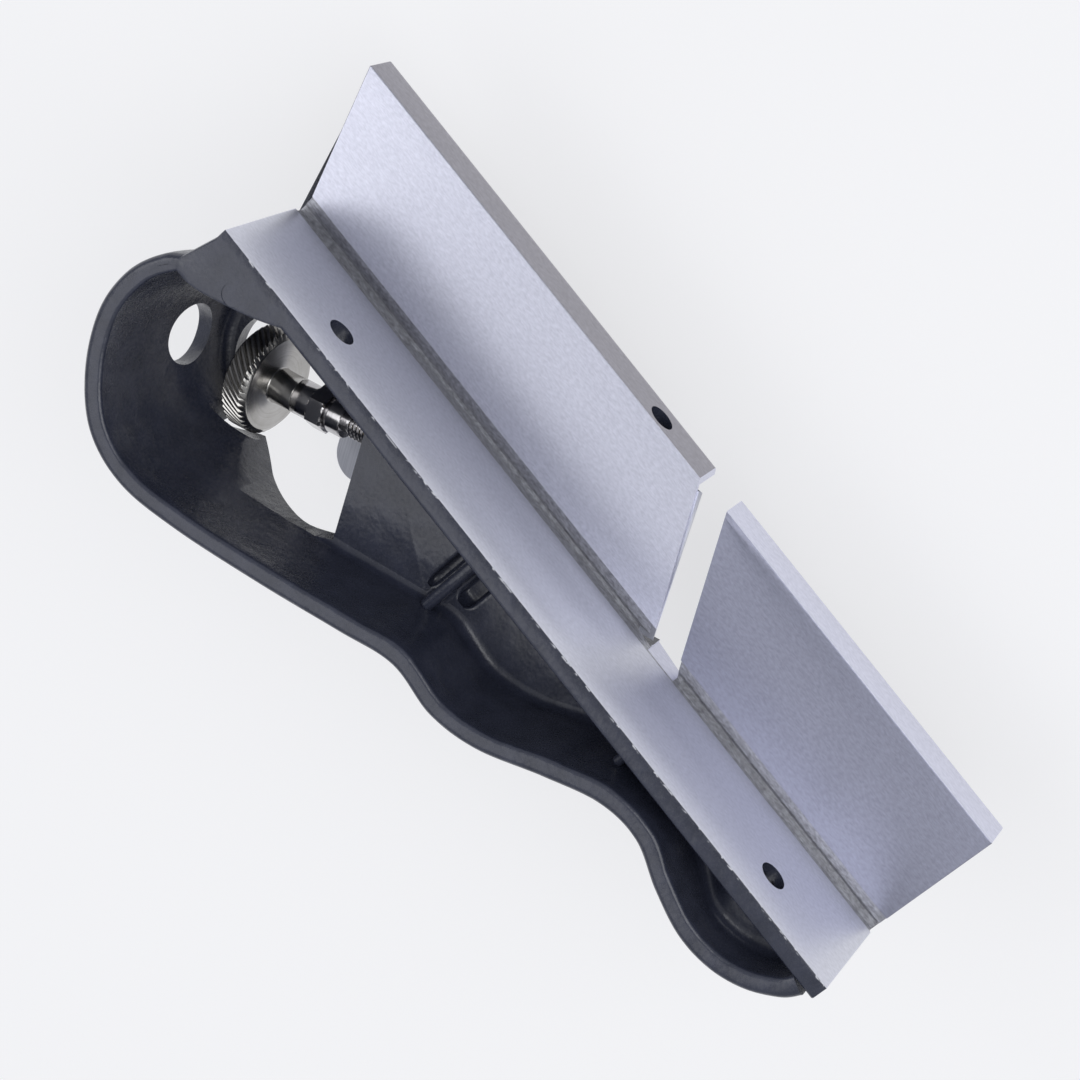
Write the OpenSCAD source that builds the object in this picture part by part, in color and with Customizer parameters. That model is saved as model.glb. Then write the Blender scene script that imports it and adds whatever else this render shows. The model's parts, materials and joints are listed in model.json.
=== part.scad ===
// Edge trimming plane: an L-shaped iron casting with a hollow grip, a skewed bevel-up blade,
// a lever cap with a rear knob, and a screw adjuster that feeds the blade and swings it sideways.
// It lies on its back, as photographed: +X from heel to toe, +Y across the sole away from the
// fence, +Z out of the sole. The origin is at the middle of the lowest plane.

/* [Sole and fence] */
// Length of the sole and of the fence, without the heel's slanted tip
body_l = 152.4; // [148:0.1:158]
// Width of the sole, from the fence's face to the outer side
sole_w = 25.4; // [25:0.1:26.5]
// Depth of the fence, from the sole's face to its edge
fence_h = 28.575; // [27.5:0.1:30]
// Thickness of the fence
fence_t = 3.5; // [3.2:0.1:3.9]
// Thickness of the sole's web
web_t = 4; // [3.6:0.1:4.4]
// Height of the rail along the sole's outer side
rail_h = 8.7; // [8.4:0.1:9.2]
// Width of that rail
rail_w = 4.2; // [3.8:0.1:4.6]
// Reach of the heel's slanted tip beyond the fence's end
heel_reach = 9.4; // [8:0.1:11]
// Width of the recessed strips beside the inside corner
relief_w = 2.55; // [2:0.05:3]
// Depth of those strips
relief_t = 0.8; // [0.5:0.05:1]
// Distance of the first fence hole from the heel end
hole_x = 23.1; // [20:0.1:26]
// Distance between the two fence holes
hole_pitch = 111.125; // [108:0.025:114]
// Distance of the fence holes from the sole's face
hole_z = 18.35; // [17:0.05:20]
// Diameter of the fence holes
hole_d = 5.05; // [4.6:0.05:5.5]

/* [Mouth and bed] */
// Place of the mouth's rear edge along the fence
mouth_x = 93.27; // [91:0.1:95]
// Opening of the mouth along the fence
mouth_gap = 6.65; // [5:0.05:8]
// Slant of the mouth's rear edge, from square across the sole
mouth_rear_a = 32.4; // [31.5:0.1:33]
// Slant of the mouth's front edge
mouth_front_a = 32; // [31.5:0.1:33]
// Skew of the blade's length from the length of the sole
skew_a = 30.5; // [29.5:0.1:31.5]
// Slope of the bed
bed_a = 12; // [11:0.1:13]
// Length of the block under the bed, from the mouth back
block_l = 55.4; // [54.8:0.1:57]
// Depth of the bed's edge below the sole's face, at the mouth
bed_drop = 0.6; // [0.4:0.1:0.8]
// Reach of the block in front of the mouth
block_front = 12; // [9:0.5:16]
// Height of the cheeks beside the blade above the bed
cheek_h = 4.5; // [3.6:0.1:5]

/* [Grip shell] */
// Depth of the grip beyond the fence's face
shell_d = 44.3; // [43:0.1:46]
// Width of the rim
rim_w = 3.5; // [3:0.1:4]
// Thickness of the grip's floor
floor_t = 3.6; // [3:0.1:4.2]
// Height of the floor over the bed block, above the sole's face
mid_floor = 10; // [9:0.1:11]
// Height of the floor in the narrow neck, above the sole's face
neck_floor = 16; // [15:0.1:17]
// Height of the floor at the toe, above the sole's face
toe_floor = 19.5; // [18.5:0.1:20]
// Depth of the heel's floor, below the sole's face
heel_floor = 7; // [6:0.1:8]
// Fillet between the wall and the floor
floor_r = 2.2; // [1.5:0.1:3]
// Rounding of the heel's outer edge
back_r = 7; // [5:0.1:9]
// Diameter of the hang hole
hang_d = 11; // [9:0.1:12]

/* [Blade] */
// Width of the blade
blade_w = 27; // [26:0.1:27.4]
// Length of the blade
blade_l = 69.5; // [67:0.1:71]
// Thickness of the blade
blade_t = 3.2; // [2.8:0.1:3.5]
// Bevel angle of the blade
bevel_a = 25; // [23:0.5:30]
// Radius of the blade's rear corners
blade_r = 4.8; // [3:0.1:6]
// Clearance between the blade's sides and the cheeks
blade_gap = 1.1; // [1:0.1:1.4]

/* [Adjuster] */
// Height of the spindle's axis over the bed, on the sole's side
spindle_h = 9.9; // [9.6:0.1:10.4]
// Distance of the wheel's front face behind the edge
wheel_at = 78.1; // [77:0.1:80]
// Diameter of the wheel
wheel_d = 19.05; // [17:0.05:20]
// Width of the wheel
wheel_w = 5.5; // [4.5:0.1:6.5]
// Depth of the knurl's grooves
knurl_t = 0.5; // [0.3:0.05:0.7]
// Diameter of the hub and of the spindle's shoulders
hub_d = 6.35; // [6:0.05:6.8]
// Length of the wheel's hub
hub_l = 5.1; // [4:0.1:6]
// Width across the flats of the spindle's hexagon
hex_af = 7; // [6.8:0.1:7.6]
// Length of the hexagon
hex_l = 3.4; // [3:0.1:4]
// Diameter of the spindle's thread
thread_d = 4.8; // [4.4:0.05:5]
// Distance of the pivot behind the edge
pivot_at = 49.8; // [49.4:0.1:50]
// Diameter of the pivot
pivot_d = 7.4; // [7:0.1:7.5]
// Distance of the drive pin behind the edge
pin_at = 40.5; // [40:0.1:41]
// Diameter of the drive pin
pin_d = 4; // [3.5:0.1:4.3]
// Width of the carriage
carriage_w = 8.6; // [8:0.1:9]
// Length of the carriage
carriage_l = 4.8; // [4:0.1:5]

/* [Lever cap] */
// Length of the lever cap
cap_l = 53; // [50:0.1:54]
// Width of the lever cap
cap_w = 24; // [22:0.1:25]
// Greatest thickness of the lever cap
cap_t = 6; // [5.5:0.1:7]
// Distance of the lever cap's tip behind the edge
cap_at = 3.2; // [3:0.1:5]
// Distance of the lever cap's screw behind the edge
cap_screw_at = 28; // [27.5:0.1:28.5]
// Diameter of that screw's shank
cap_screw_d = 5; // [4.5:0.1:5.4]
// Diameter of that screw's head
cap_head_d = 9; // [8.5:0.1:9.5]
// Distance of the knob behind the edge
knob_at = 48.5; // [48:0.1:49.5]
// Diameter of the knob
knob_d = 17; // [15:0.1:18]
// Height of the knob
knob_h = 7; // [6:0.1:8]
// Diameter of the knob's threaded stem
stem_d = 5.6; // [5:0.1:6]

/* [Set screws] */
// Distance of the side set screw from the heel end
side_screw_x = 65.5; // [65:0.1:66]
// Distance of the grip's set screw from the heel end
grip_screw_x = 62; // [61.5:0.1:62.5]
// Diameter of both set screws
set_d = 4.8; // [4.5:0.05:4.9]

/* [Hidden] */

// Overrun of every cut, running clearance of turned fits, and seat clearance of flat faces
over = 1;
run_c = 0.05;
seat_c = 0.05;
// Sides of round surfaces, and of small round ones
round_n = 64;
small_n = 32;

// Middle of the blade's edge on the sole's face
edge_y = 12.15;
edge_lead = 0.55;
edge_x = mouth_x - edge_y * tan(mouth_rear_a) + edge_lead;

// The grip's outer edge from the fence's heel end round to its toe end, as shares of the body's
// length and of the grip's depth, chosen by hand
outline_shares = [
    [0.000, 0.079], [-0.005, 0.170], [-0.027, 0.260], [-0.041, 0.418], [-0.033, 0.610],
    [0.003, 0.812], [0.056, 0.960], [0.121, 1.000], [0.197, 0.937], [0.302, 0.799],
    [0.394, 0.664], [0.459, 0.573], [0.525, 0.580], [0.584, 0.519], [0.650, 0.375],
    [0.709, 0.262], [0.761, 0.239], [0.814, 0.302], [0.866, 0.343], [0.912, 0.330],
    [0.951, 0.271], [0.981, 0.176], [0.992, 0.102]
];
// Where the cross-sections of the grip meet the fence, as shares of the way along the outline and
// of the body's length
root_shares = [[0, 0.09], [0.18, 0.17], [0.27, 0.21], [0.42, 0.34], [0.58, 0.54], [0.75, 0.71], [1, 0.94]];
// The heel's slanted edge, as shares of its reach and of the sole's width
heel_shares = [[0, 0], [0.01, 0.106], [0.21, 0.28], [0.49, 0.5], [0.85, 0.79], [1, 0.93], [0.97, 1]];
// The gusset's free edge, as shares of its length along the fence and of its reach from the face
gusset_shares = [
    [1.00, 0.20], [0.92, 0.32], [0.65, 0.59], [0.28, 0.88], [0.09, 0.975], [-0.08, 1.00], [-0.16, 1.20]
];
// The rear part of the opening under the wheel, as shares of its length and depth from the corner
// of the bed block
scoop_shares = [
    [0.00, 0.00], [0.11, 0.15], [0.24, 0.26], [0.37, 0.35], [0.46, 0.38], [0.61, 0.38],
    [0.80, 0.29], [0.95, 0.08], [1.01, -0.17], [0.98, -0.42], [0.85, -0.62], [0.62, -0.70]
];

// A smooth curve through points, with steps pieces from each point to the next
function spline_at(a, b, c, d, t) =
    (2 * b + (c - a) * t + (2 * a - 5 * b + 4 * c - d) * t * t + (3 * b - a - 3 * c + d) * t * t * t) / 2;
function spline(p, steps) = [
    for (i = [0 : len(p) - 2], k = [0 : steps - 1])
        spline_at(p[max(i - 1, 0)], p[i], p[i + 1], p[min(i + 2, len(p) - 1)], k / steps),
    p[len(p) - 1]
];
function sum(v, i = 0) = i == len(v) ? 0 : v[i] + sum(v, i + 1);
function unit(v) = v / norm(v);
function smooth(t) = let (c = min(max(t, 0), 1)) c * c * (3 - 2 * c);

outline_steps = 3;
outline = spline([for (s = outline_shares) [s[0] * body_l, -s[1] * shell_d]], outline_steps);
lengths = [for (i = [0 : len(outline) - 2]) norm(outline[i + 1] - outline[i])];
ways = [for (i = [0 : len(outline) - 1]) sum([for (k = [0 : 1 : i - 1]) lengths[k]]) / sum(lengths)];
y_low = min([for (p = outline) p[1]]);
root_y = -fence_t / 2;

// Unit vector into the grip at a station, and its share along the wall's normal
function root_of(i) = [lookup(ways[i], root_shares) * body_l, root_y];
function into(i) = unit(root_of(i) - outline[i]);
function along(i) = unit(outline[min(i + 1, len(outline) - 1)] - outline[max(i - 1, 0)]);
function square_share(i) = abs(into(i)[0] * along(i)[1] - into(i)[1] * along(i)[0]);

// Height of the grip's floor by the place of its wall along the body
floor_rise_from = 0.12;
floor_rise_to = 0.27;
neck_from = 0.65;
neck_to = 0.7;
toe_from = 0.83;
toe_to = 0.9;
function floor_z(x) =
    -heel_floor
    + (mid_floor + heel_floor) * smooth((x / body_l - floor_rise_from) / (floor_rise_to - floor_rise_from))
    + (neck_floor - mid_floor) * smooth((x / body_l - neck_from) / (neck_to - neck_from))
    + (toe_floor - neck_floor) * smooth((x / body_l - toe_from) / (toe_to - toe_from));

// The wall leans in more and more with its depth, and most of all beside the heel end
lean_depth = 220;
heel_lean = 1.2;
heel_lean_way = 0.2;
lean_limit = 0.6;
edge_r = 0.7;
wall_rows = 5;
arc_rows = 3;
function reach(i) = norm(root_of(i) - outline[i]);
function lean(i, s) =
    let (
        free = (1 + heel_lean * (1 - smooth(ways[i] / heel_lean_way))) * s * s / lean_depth,
        limit = lean_limit * reach(i) * square_share(i)
    )
    limit * (1 - exp(-free / limit));
function wall_q(i, wall, s) = (wall + lean(i, s)) / square_share(i);

// One side of a cross-section, from the rim down the wall and along the floor to the fence, as
// pairs of depth into the grip and height
function chain(i, wall, rim_q, z, r) =
    let (
        fit = min(r, (reach(i) - wall_q(i, wall, fence_h - z)) / 2),
        deep = fence_h - z - fit
    )
    [
        [rim_q, fence_h],
        for (k = [0 : wall_rows]) let (s = edge_r + (deep - edge_r) * k / wall_rows)
            [wall_q(i, wall, s), fence_h - s],
        for (k = [1 : arc_rows]) let (a = 90 * k / arc_rows)
            [wall_q(i, wall, deep) + fit * (1 - cos(a)), z + fit * (1 - sin(a))],
        [reach(i), z]
    ];
function section(i) =
    let (
        low = floor_z(outline[i][0]),
        inner = chain(i, rim_w, rim_w / square_share(i) - edge_r, low, floor_r),
        outer = chain(i, 0, edge_r, low - floor_t, back_r)
    )
    [each inner, for (k = [len(outer) - 1 : -1 : 0]) outer[k]];
function section_points(i) = [
    for (q = section(i)) let (p = outline[i] + into(i) * q[0]) [p[0], p[1], q[1]]
];

module shell_solid() {
    n = len(section(0));
    m = len(outline);
    last = (m - 1) * n;
    points = [for (i = [0 : m - 1]) each section_points(i)];
    faces = [
        for (k = [0 : n / 2 - 2]) each [[n - 1 - k, k + 1, k], [n - 1 - k, n - 2 - k, k + 1]],
        for (k = [0 : n / 2 - 2]) each
            [[last + n - 1 - k, last + k, last + k + 1], [last + n - 1 - k, last + k + 1, last + n - 2 - k]],
        for (i = [0 : m - 2], k = [0 : n - 1]) let (a = i * n + k, b = i * n + (k + 1) % n)
            each [[a, b, a + n], [b, b + n, a + n]]
    ];
    polyhedron(points, faces);
}

// Lowest point, where the origin's plane lies, and the middle of the part
knob_gap = 1.4;
knob_top = blade_t + cap_t + knob_gap + knob_h;
drop = bed_drop + knob_at * sin(bed_a) + knob_top * cos(bed_a) + (knob_d / 2 - 2 * edge_r) * sin(bed_a);
mid_x = (body_l - heel_reach) / 2;
mid_y = (sole_w + y_low) / 2;

// From the heel end of the fence, on the sole's face, to the origin
module placed() {
    translate([-mid_x, -mid_y, drop]) children();
}

// Plan of the blade: x runs along it towards the edge, y across it
module on_plan() {
    translate([edge_x, edge_y, 0]) rotate([0, 0, skew_a]) children();
}

// On the bed: z = 0 is the bed, and the blade lies at negative z
module on_bed() {
    on_plan() translate([0, 0, -bed_drop]) rotate([0, -bed_a, 0]) children();
}

// A cylinder along x, from one distance behind the edge to another, about the spindle's axis
module spindle_part(from, to, d, n = round_n) {
    translate([-from, 0, spindle_h]) rotate([0, 90, 0]) cylinder(d = d, h = from - to, $fn = n);
}

// A slot along x, standing on z
module slot(x_low, x_high, d, z_low, z_high) {
    translate([0, 0, z_low]) linear_extrude(z_high - z_low) union() {
        translate([x_low, -d / 2]) square([x_high - x_low, d]);
        for (x = [x_low, x_high]) translate([x, 0]) circle(d = d, $fn = small_n);
    }
}

module l_profile() {
    root_r = fence_t / 2;
    union() {
        difference() {
            translate([-fence_t, -web_t]) square([fence_t + sole_w, web_t + fence_h]);
            square([sole_w + over, fence_h + over]);
            translate([-fence_t - over, -web_t - over]) square([over + root_r, over + root_r]);
        }
        translate([root_r - fence_t, root_r - web_t]) circle(r = root_r, $fn = small_n);
        translate([sole_w - rail_w, -rail_h]) square([rail_w, rail_h]);
    }
}

// Fence, sole and rail as one section, cut to the heel's slant
module l_bar() {
    heel = spline([for (s = heel_shares) [-s[0] * heel_reach, s[1] * sole_w]], outline_steps);
    tall = fence_h + rail_h + 2 * over;
    difference() {
        translate([-heel_reach - over, 0, 0]) rotate([90, 0, 90])
            linear_extrude(body_l + heel_reach + over) l_profile();
        translate([0, 0, -rail_h - over]) linear_extrude(tall) polygon([
            [0, -fence_t - over],
            for (p = heel) p,
            [heel[len(heel) - 1][0], sole_w + over],
            [-heel_reach - 2 * over, sole_w + over],
            [-heel_reach - 2 * over, -fence_t - over]
        ]);
    }
}

// The open mouth, in plan
module mouth_plan() {
    low = -relief_t;
    high = sole_w + over;
    polygon([
        [mouth_x - low * tan(mouth_rear_a), low],
        [mouth_x + mouth_gap - low * tan(mouth_front_a), low],
        [mouth_x + mouth_gap - high * tan(mouth_front_a), high],
        [mouth_x - high * tan(mouth_rear_a), high]
    ]);
}

// The block under the bed: down to the grip's floor inside the grip, and to the sole's face outside
cheek_t = 4;
channel_w = blade_w + 2 * blade_gap;
block_w = channel_w + 2 * cheek_t;
block_inset = 2.6;
module block_plan(inside) {
    intersection() {
        on_plan_2d() translate([-block_l, -block_w / 2]) square([block_l + block_front, block_w]);
        if (inside)
            polygon([
                for (i = [0 : len(outline) - 1]) outline[i] + into(i) * block_inset / square_share(i),
                [body_l, 0],
                [0, 0]
            ]);
        else
            translate([0, -fence_t]) square([body_l, sole_w + fence_t]);
    }
}
module on_plan_2d() {
    translate([edge_x, edge_y]) rotate(skew_a) children();
}
module bed_block() {
    deep = block_l * tan(bed_a) + bed_drop + cheek_h + over;
    difference() {
        union() {
            translate([0, 0, -deep]) linear_extrude(deep + mid_floor + seat_c) block_plan(true);
            translate([0, 0, -deep]) linear_extrude(deep) block_plan(false);
        }
        // everything above the cheeks
        on_bed() translate([-2 * block_l, -block_w, -3 * deep - cheek_h])
            cube([4 * block_l, 2 * block_w, 3 * deep]);
    }
}

// Pocket for the carriage, socket of the pivot, bore of the spindle, threaded hole of the cap's screw
travel_in = 1.4;
travel_out = 3.2;
swing_c = 0.7;
pocket_deep = 14.8;
cap_thread_l = 4.6;
spindle_bore_d = thread_d + 2 * swing_c;
module bed_cuts() {
    pocket_w = carriage_w + 2 * swing_c;
    tip_w = clip_d + 2 * swing_c;
    pocket_from = pin_at + carriage_l / 2 + travel_in + swing_c / 2;
    pocket_to = pin_at - carriage_l / 2 - travel_out - swing_c / 2;
    tip_to = tip_at - travel_out - swing_c / 2;
    on_bed() {
        translate([-pocket_from, -pocket_w / 2, -over])
            cube([pocket_from - pocket_to, pocket_w, pocket_deep + over]);
        translate([-pocket_to - over, -tip_w / 2, -over])
            cube([pocket_to - tip_to + over, tip_w, pocket_deep + over]);
        translate([-pivot_at, 0, -over])
            cylinder(d = pivot_d + 2 * run_c, h = pocket_deep + over, $fn = round_n);
        spindle_part(block_l + 2 * over, pin_at, spindle_bore_d);
        translate([-cap_screw_at, 0, -over])
            cylinder(d = cap_screw_d, h = cap_thread_l + over, $fn = small_n);
    }
}

// Space of the blade between the cheeks
module channel() {
    on_bed() translate([-2 * block_l, -channel_w / 2, -2 * rail_h])
        cube([2 * block_l + over / 2, channel_w, 2 * rail_h]);
}

// The opening in the grip's floor, for the wheel
scoop_l = 39;
scoop_d = 20;
scoop_y = 29;
module scoop_plan() {
    back = block_l - over / 2;
    corner = [edge_x - back * cos(skew_a), edge_y - back * sin(skew_a)];
    tip = corner + [sin(skew_a), -cos(skew_a)] * (scoop_y + corner[1]) / cos(skew_a);
    top = corner + [sin(skew_a), -cos(skew_a)] * (fence_t + over + corner[1]) / cos(skew_a);
    polygon(concat(
        spline([for (s = scoop_shares) tip + [-s[0] * scoop_l, -s[1] * scoop_d]], outline_steps),
        [top]
    ));
}

wheel_c = 1.4;
module wheel_space() {
    on_bed() spindle_part(
        wheel_at + wheel_w + 2 * wheel_c, wheel_at - travel_out - wheel_c, wheel_d + 2 * wheel_c
    );
}
module scoop() {
    translate([0, 0, -heel_floor - back_r])
        linear_extrude(heel_floor + back_r + mid_floor + over) scoop_plan();
}

hang_x = 2.8;
hang_y = -30.2;
hang_z = 3;
hang_turn = 45;
hang_tilt = 23;
module body_casting() {
    color([0.17, 0.17, 0.19]) placed() difference() {
        union() {
            difference() {
                union() {
                    l_bar();
                    shell_solid();
                }
                scoop();
                wheel_space();
            }
            bed_block();
            gusset();
            rib_a();
            rib_b();
            set_screw_boss();
        }
        translate([0, 0, -2 * rail_h]) linear_extrude(2 * rail_h + over) mouth_plan();
        channel();
        bed_cuts();
        floor_cuts();
        // recessed strips along the inside corner
        translate([-heel_reach - over, -relief_t, -relief_t])
            cube([body_l + heel_reach + 2 * over, relief_w + relief_t, relief_t + seat_c]);
        translate([-over, -relief_t, -relief_t])
            cube([body_l + 2 * over, relief_t + seat_c, relief_w + relief_t]);
        for (x = [hole_x, hole_x + hole_pitch]) translate([x, over, hole_z]) rotate([90, 0, 0])
            cylinder(d = hole_d, h = fence_t + 2 * over, $fn = round_n);
        translate([hang_x, hang_y, hang_z]) rotate([0, 0, hang_turn]) rotate([0, 90 - hang_tilt, 0])
            cylinder(d = hang_d, h = 2 * hang_d, center = true, $fn = round_n);
        translate([side_screw_x, sole_w + over, side_screw_z]) rotate([90, 0, 0])
            cylinder(d = set_d, h = sole_w / 2, $fn = round_n);
        translate([grip_screw_x, -grip_screw_out, grip_screw_z]) rotate([-90, 0, 0])
            cylinder(d = set_d, h = sole_w / 2 + over, $fn = round_n);
    }
}

// Flat gusset between the rim and the fence at the heel end
gusset_l = 18.6;
gusset_d = 11.7;
gusset_t = 3.5;
module gusset() {
    translate([0, 0, fence_h - gusset_t]) linear_extrude(gusset_t) polygon([
        [0, -fence_t / 2],
        [gusset_l, -fence_t / 2],
        for (s = gusset_shares) [s[0] * gusset_l, -s[1] * gusset_d]
    ]);
}

// Rib across the grip in front of the bed block's floor
rib_x = 65.2;
rib_t = 2.3;
rib_top = 13.5;
rib_reach = 22.6;
module rib_a() {
    translate([rib_x, -rib_reach, 0]) {
        translate([-rib_t / 2, 0, mid_floor - over])
            cube([rib_t, rib_reach - root_t, rib_top - mid_floor + over - rib_t / 2]);
        translate([0, 0, rib_top - rib_t / 2]) rotate([-90, 0, 0])
            cylinder(d = rib_t, h = rib_reach - root_t, $fn = small_n);
    }
}
root_t = fence_t / 2;

// Short rib across the narrow neck
stub_x = 104.6;
stub_t = 1.8;
stub_top = 21;
stub_reach = 9;
module rib_b() {
    translate([stub_x - stub_t / 2, -stub_reach, mid_floor])
        cube([stub_t, stub_reach - root_t, stub_top - mid_floor]);
}

// Boss of the side set screw, between the rail and the cheek
side_screw_z = -3.23;
set_boss_d = 9;
module set_screw_boss() {
    intersection() {
        translate([side_screw_x, sole_w - rail_w / 2, side_screw_z]) rotate([90, 0, 0])
            cylinder(d = set_boss_d, h = rail_w + cheek_t, $fn = small_n);
        translate([0, 0, -rail_h]) cube([body_l, sole_w, rail_h]);
    }
}
grip_screw_z = -8.6;
grip_screw_out = 30;

// Groove and pocket in the floor, on both sides of the rib
groove_w = 1.8;
groove_t = 3.5;
pit_l = 4.6;
pit_w = 9.4;
pit_t = 6.5;
module floor_cuts() {
    translate([rib_x - rib_t / 2 - groove_w, -rib_reach + groove_w, mid_floor - groove_t])
        cube([groove_w, rib_reach - groove_w - fence_t, groove_t + over]);
    translate([rib_x + rib_t / 2, -fence_t - pit_w, mid_floor - pit_t]) cube([pit_l, pit_w, pit_t + over]);
}

module blade() {
    slot_l = 11;
    color([0.78, 0.79, 0.81]) placed() on_bed() translate([0, 0, -seat_c]) difference() {
        translate([0, 0, -blade_t]) linear_extrude(blade_t) union() {
            translate([-blade_l + blade_r, -blade_w / 2]) square([blade_l - blade_r, blade_w]);
            for (y = [-1, 1]) translate([-blade_l + blade_r, y * (blade_w / 2 - blade_r)])
                circle(r = blade_r, $fn = round_n);
            translate([-blade_l, blade_r - blade_w / 2]) square([blade_r, blade_w - 2 * blade_r]);
        }
        // bevel, from the edge on the bed's side up to the blade's back
        rotate([0, -bevel_a, 0]) translate([-2 * blade_w, -blade_w, -2 * blade_t - 2 * blade_w])
            cube([4 * blade_w, 2 * blade_w, 2 * blade_t + 2 * blade_w]);
        translate([-cap_screw_at, 0, 0])
            slot(-slot_l / 2, slot_l / 2, cap_screw_d + 2 * swing_c, -blade_t - over, over);
        translate([-pin_at, 0, -blade_t - over])
            cylinder(d = pin_d + 2 * run_c, h = blade_t + 2 * over, $fn = small_n);
    }
}

// Profile of the lever cap along its length: thin at the tip, thick over the screw
cap_profile_shares = [[0, 0.12], [0.1, 0.45], [0.25, 0.8], [0.45, 1], [0.72, 1], [0.88, 0.9], [1, 0.62]];
cap_arch = 2.4;
module lever_cap() {
    key_l = 7;
    color([0.2, 0.2, 0.22]) placed() on_bed() translate([0, 0, -blade_t - 2 * seat_c]) difference() {
        intersection() {
            translate([0, cap_w / 2, 0]) rotate([90, 0, 0]) linear_extrude(cap_w) difference() {
                polygon([
                    for (s = cap_profile_shares) [-cap_at - s[0] * cap_l, -s[1] * cap_t],
                    [-cap_at - cap_l, 0],
                    [-cap_at, 0]
                ]);
                // hollow underneath, so that the cap bears at its tip and through the foot
                polygon([
                    [-cap_at - cap_arch * 3, over],
                    [-cap_at - cap_arch * 4, -cap_arch],
                    [-cap_at - cap_l - over, -cap_arch],
                    [-cap_at - cap_l - over, over]
                ]);
            }
            translate([0, 0, -cap_t - over]) linear_extrude(cap_t + 2 * over) cap_plan();
        }
        slot(-cap_screw_at, -cap_screw_at + key_l, cap_screw_d + 2 * run_c * 4, -cap_t - over, over);
        translate([-cap_screw_at + key_l, 0, -cap_t - over])
            cylinder(d = cap_head_d + over, h = cap_t + 2 * over, $fn = small_n);
        translate([-knob_at, 0, -cap_t - over])
            cylinder(d = stem_d + 2 * run_c, h = cap_t + 2 * over, $fn = small_n);
    }
}
module cap_plan() {
    end_r = cap_w / 2;
    tip_r = 2;
    union() {
        translate([-cap_at - cap_l + end_r, 0]) circle(r = end_r, $fn = round_n);
        translate([-cap_at - cap_l + end_r, -cap_w / 2]) square([cap_l - end_r - tip_r, cap_w]);
        translate([-cap_at - tip_r, tip_r - cap_w / 2]) square([tip_r, cap_w - 2 * tip_r]);
        for (y = [-1, 1]) translate([-cap_at - tip_r, y * (cap_w / 2 - tip_r)])
            circle(r = tip_r, $fn = small_n);
    }
}

cap_head_h = 2.4;
cap_seat = blade_t + cap_t + 3 * seat_c;
module lever_cap_screw() {
    slot_w = 1.2;
    color([0.75, 0.75, 0.77]) placed() on_bed() translate([-cap_screw_at, 0, 0]) difference() {
        union() {
            translate([0, 0, -cap_seat])
                cylinder(d = cap_screw_d, h = cap_seat + cap_thread_l, $fn = small_n);
            translate([0, 0, -cap_seat - cap_head_h])
                cylinder(d = cap_head_d, h = cap_head_h, $fn = round_n);
        }
        translate([-cap_head_d, -slot_w / 2, -cap_seat - cap_head_h - over])
            cube([2 * cap_head_d, slot_w, over + cap_head_h / 2]);
    }
}

// Knurled disc about z: a round with v grooves, which lean round it when twist is given
knurl_share = 0.55;
module knurled(d, h, count, twist = 0) {
    pitch_a = 360 / count;
    linear_extrude(h, twist = twist, slices = 3) polygon([
        for (k = [0 : count - 1])
            each [
                [cos(k * pitch_a), sin(k * pitch_a)] * (d / 2 - knurl_t),
                [cos((k + knurl_share) * pitch_a), sin((k + knurl_share) * pitch_a)] * d / 2
            ]
    ]);
}

knob_count = 48;
module lever_cap_knob() {
    color([0.76, 0.76, 0.78]) placed() on_bed() translate([-knob_at, 0, -knob_top]) difference() {
        union() {
            translate([0, 0, edge_r]) knurled(knob_d, knob_h - 2 * edge_r, knob_count);
            cylinder(d1 = knob_d - 4 * edge_r, d2 = knob_d - 3 * knurl_t, h = edge_r, $fn = round_n);
            translate([0, 0, knob_h - edge_r])
                cylinder(d1 = knob_d - 3 * knurl_t, d2 = knob_d - 4 * edge_r, h = edge_r, $fn = round_n);
        }
        translate([0, 0, knob_h / 2]) cylinder(d = stem_d, h = knob_h, $fn = small_n);
    }
}

foot_h = 1.1;
module lever_cap_stem() {
    color([0.72, 0.72, 0.74]) placed() on_bed() translate([-knob_at, 0, -knob_top + knob_h / 2])
        cylinder(d = stem_d, h = knob_top - knob_h / 2 - blade_t - 2 * seat_c - foot_h, $fn = small_n);
}

module lever_cap_foot() {
    foot_d = 9;
    color([0.7, 0.68, 0.62]) placed() on_bed() translate([-knob_at, 0, -blade_t - 2 * seat_c - foot_h])
        cylinder(d = foot_d, h = foot_h, $fn = round_n);
}

wheel_count = 44;
wheel_twist = 24;
module wheel_edge() {
    cylinder(d1 = wheel_d - 4 * edge_r, d2 = wheel_d - 3 * knurl_t, h = edge_r, $fn = round_n);
}
module adjuster_wheel() {
    color([0.74, 0.74, 0.76]) placed() on_bed() difference() {
        union() {
            translate([-wheel_at - wheel_w, 0, spindle_h]) rotate([0, 90, 0]) {
                translate([0, 0, edge_r]) knurled(wheel_d, wheel_w - 2 * edge_r, wheel_count, wheel_twist);
                wheel_edge();
                translate([0, 0, wheel_w]) mirror([0, 0, 1]) wheel_edge();
            }
            spindle_part(wheel_at, wheel_at - hub_l, hub_d);
        }
        spindle_part(wheel_at + wheel_w / 2, wheel_at - hub_l - over, thread_d);
    }
}

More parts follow.
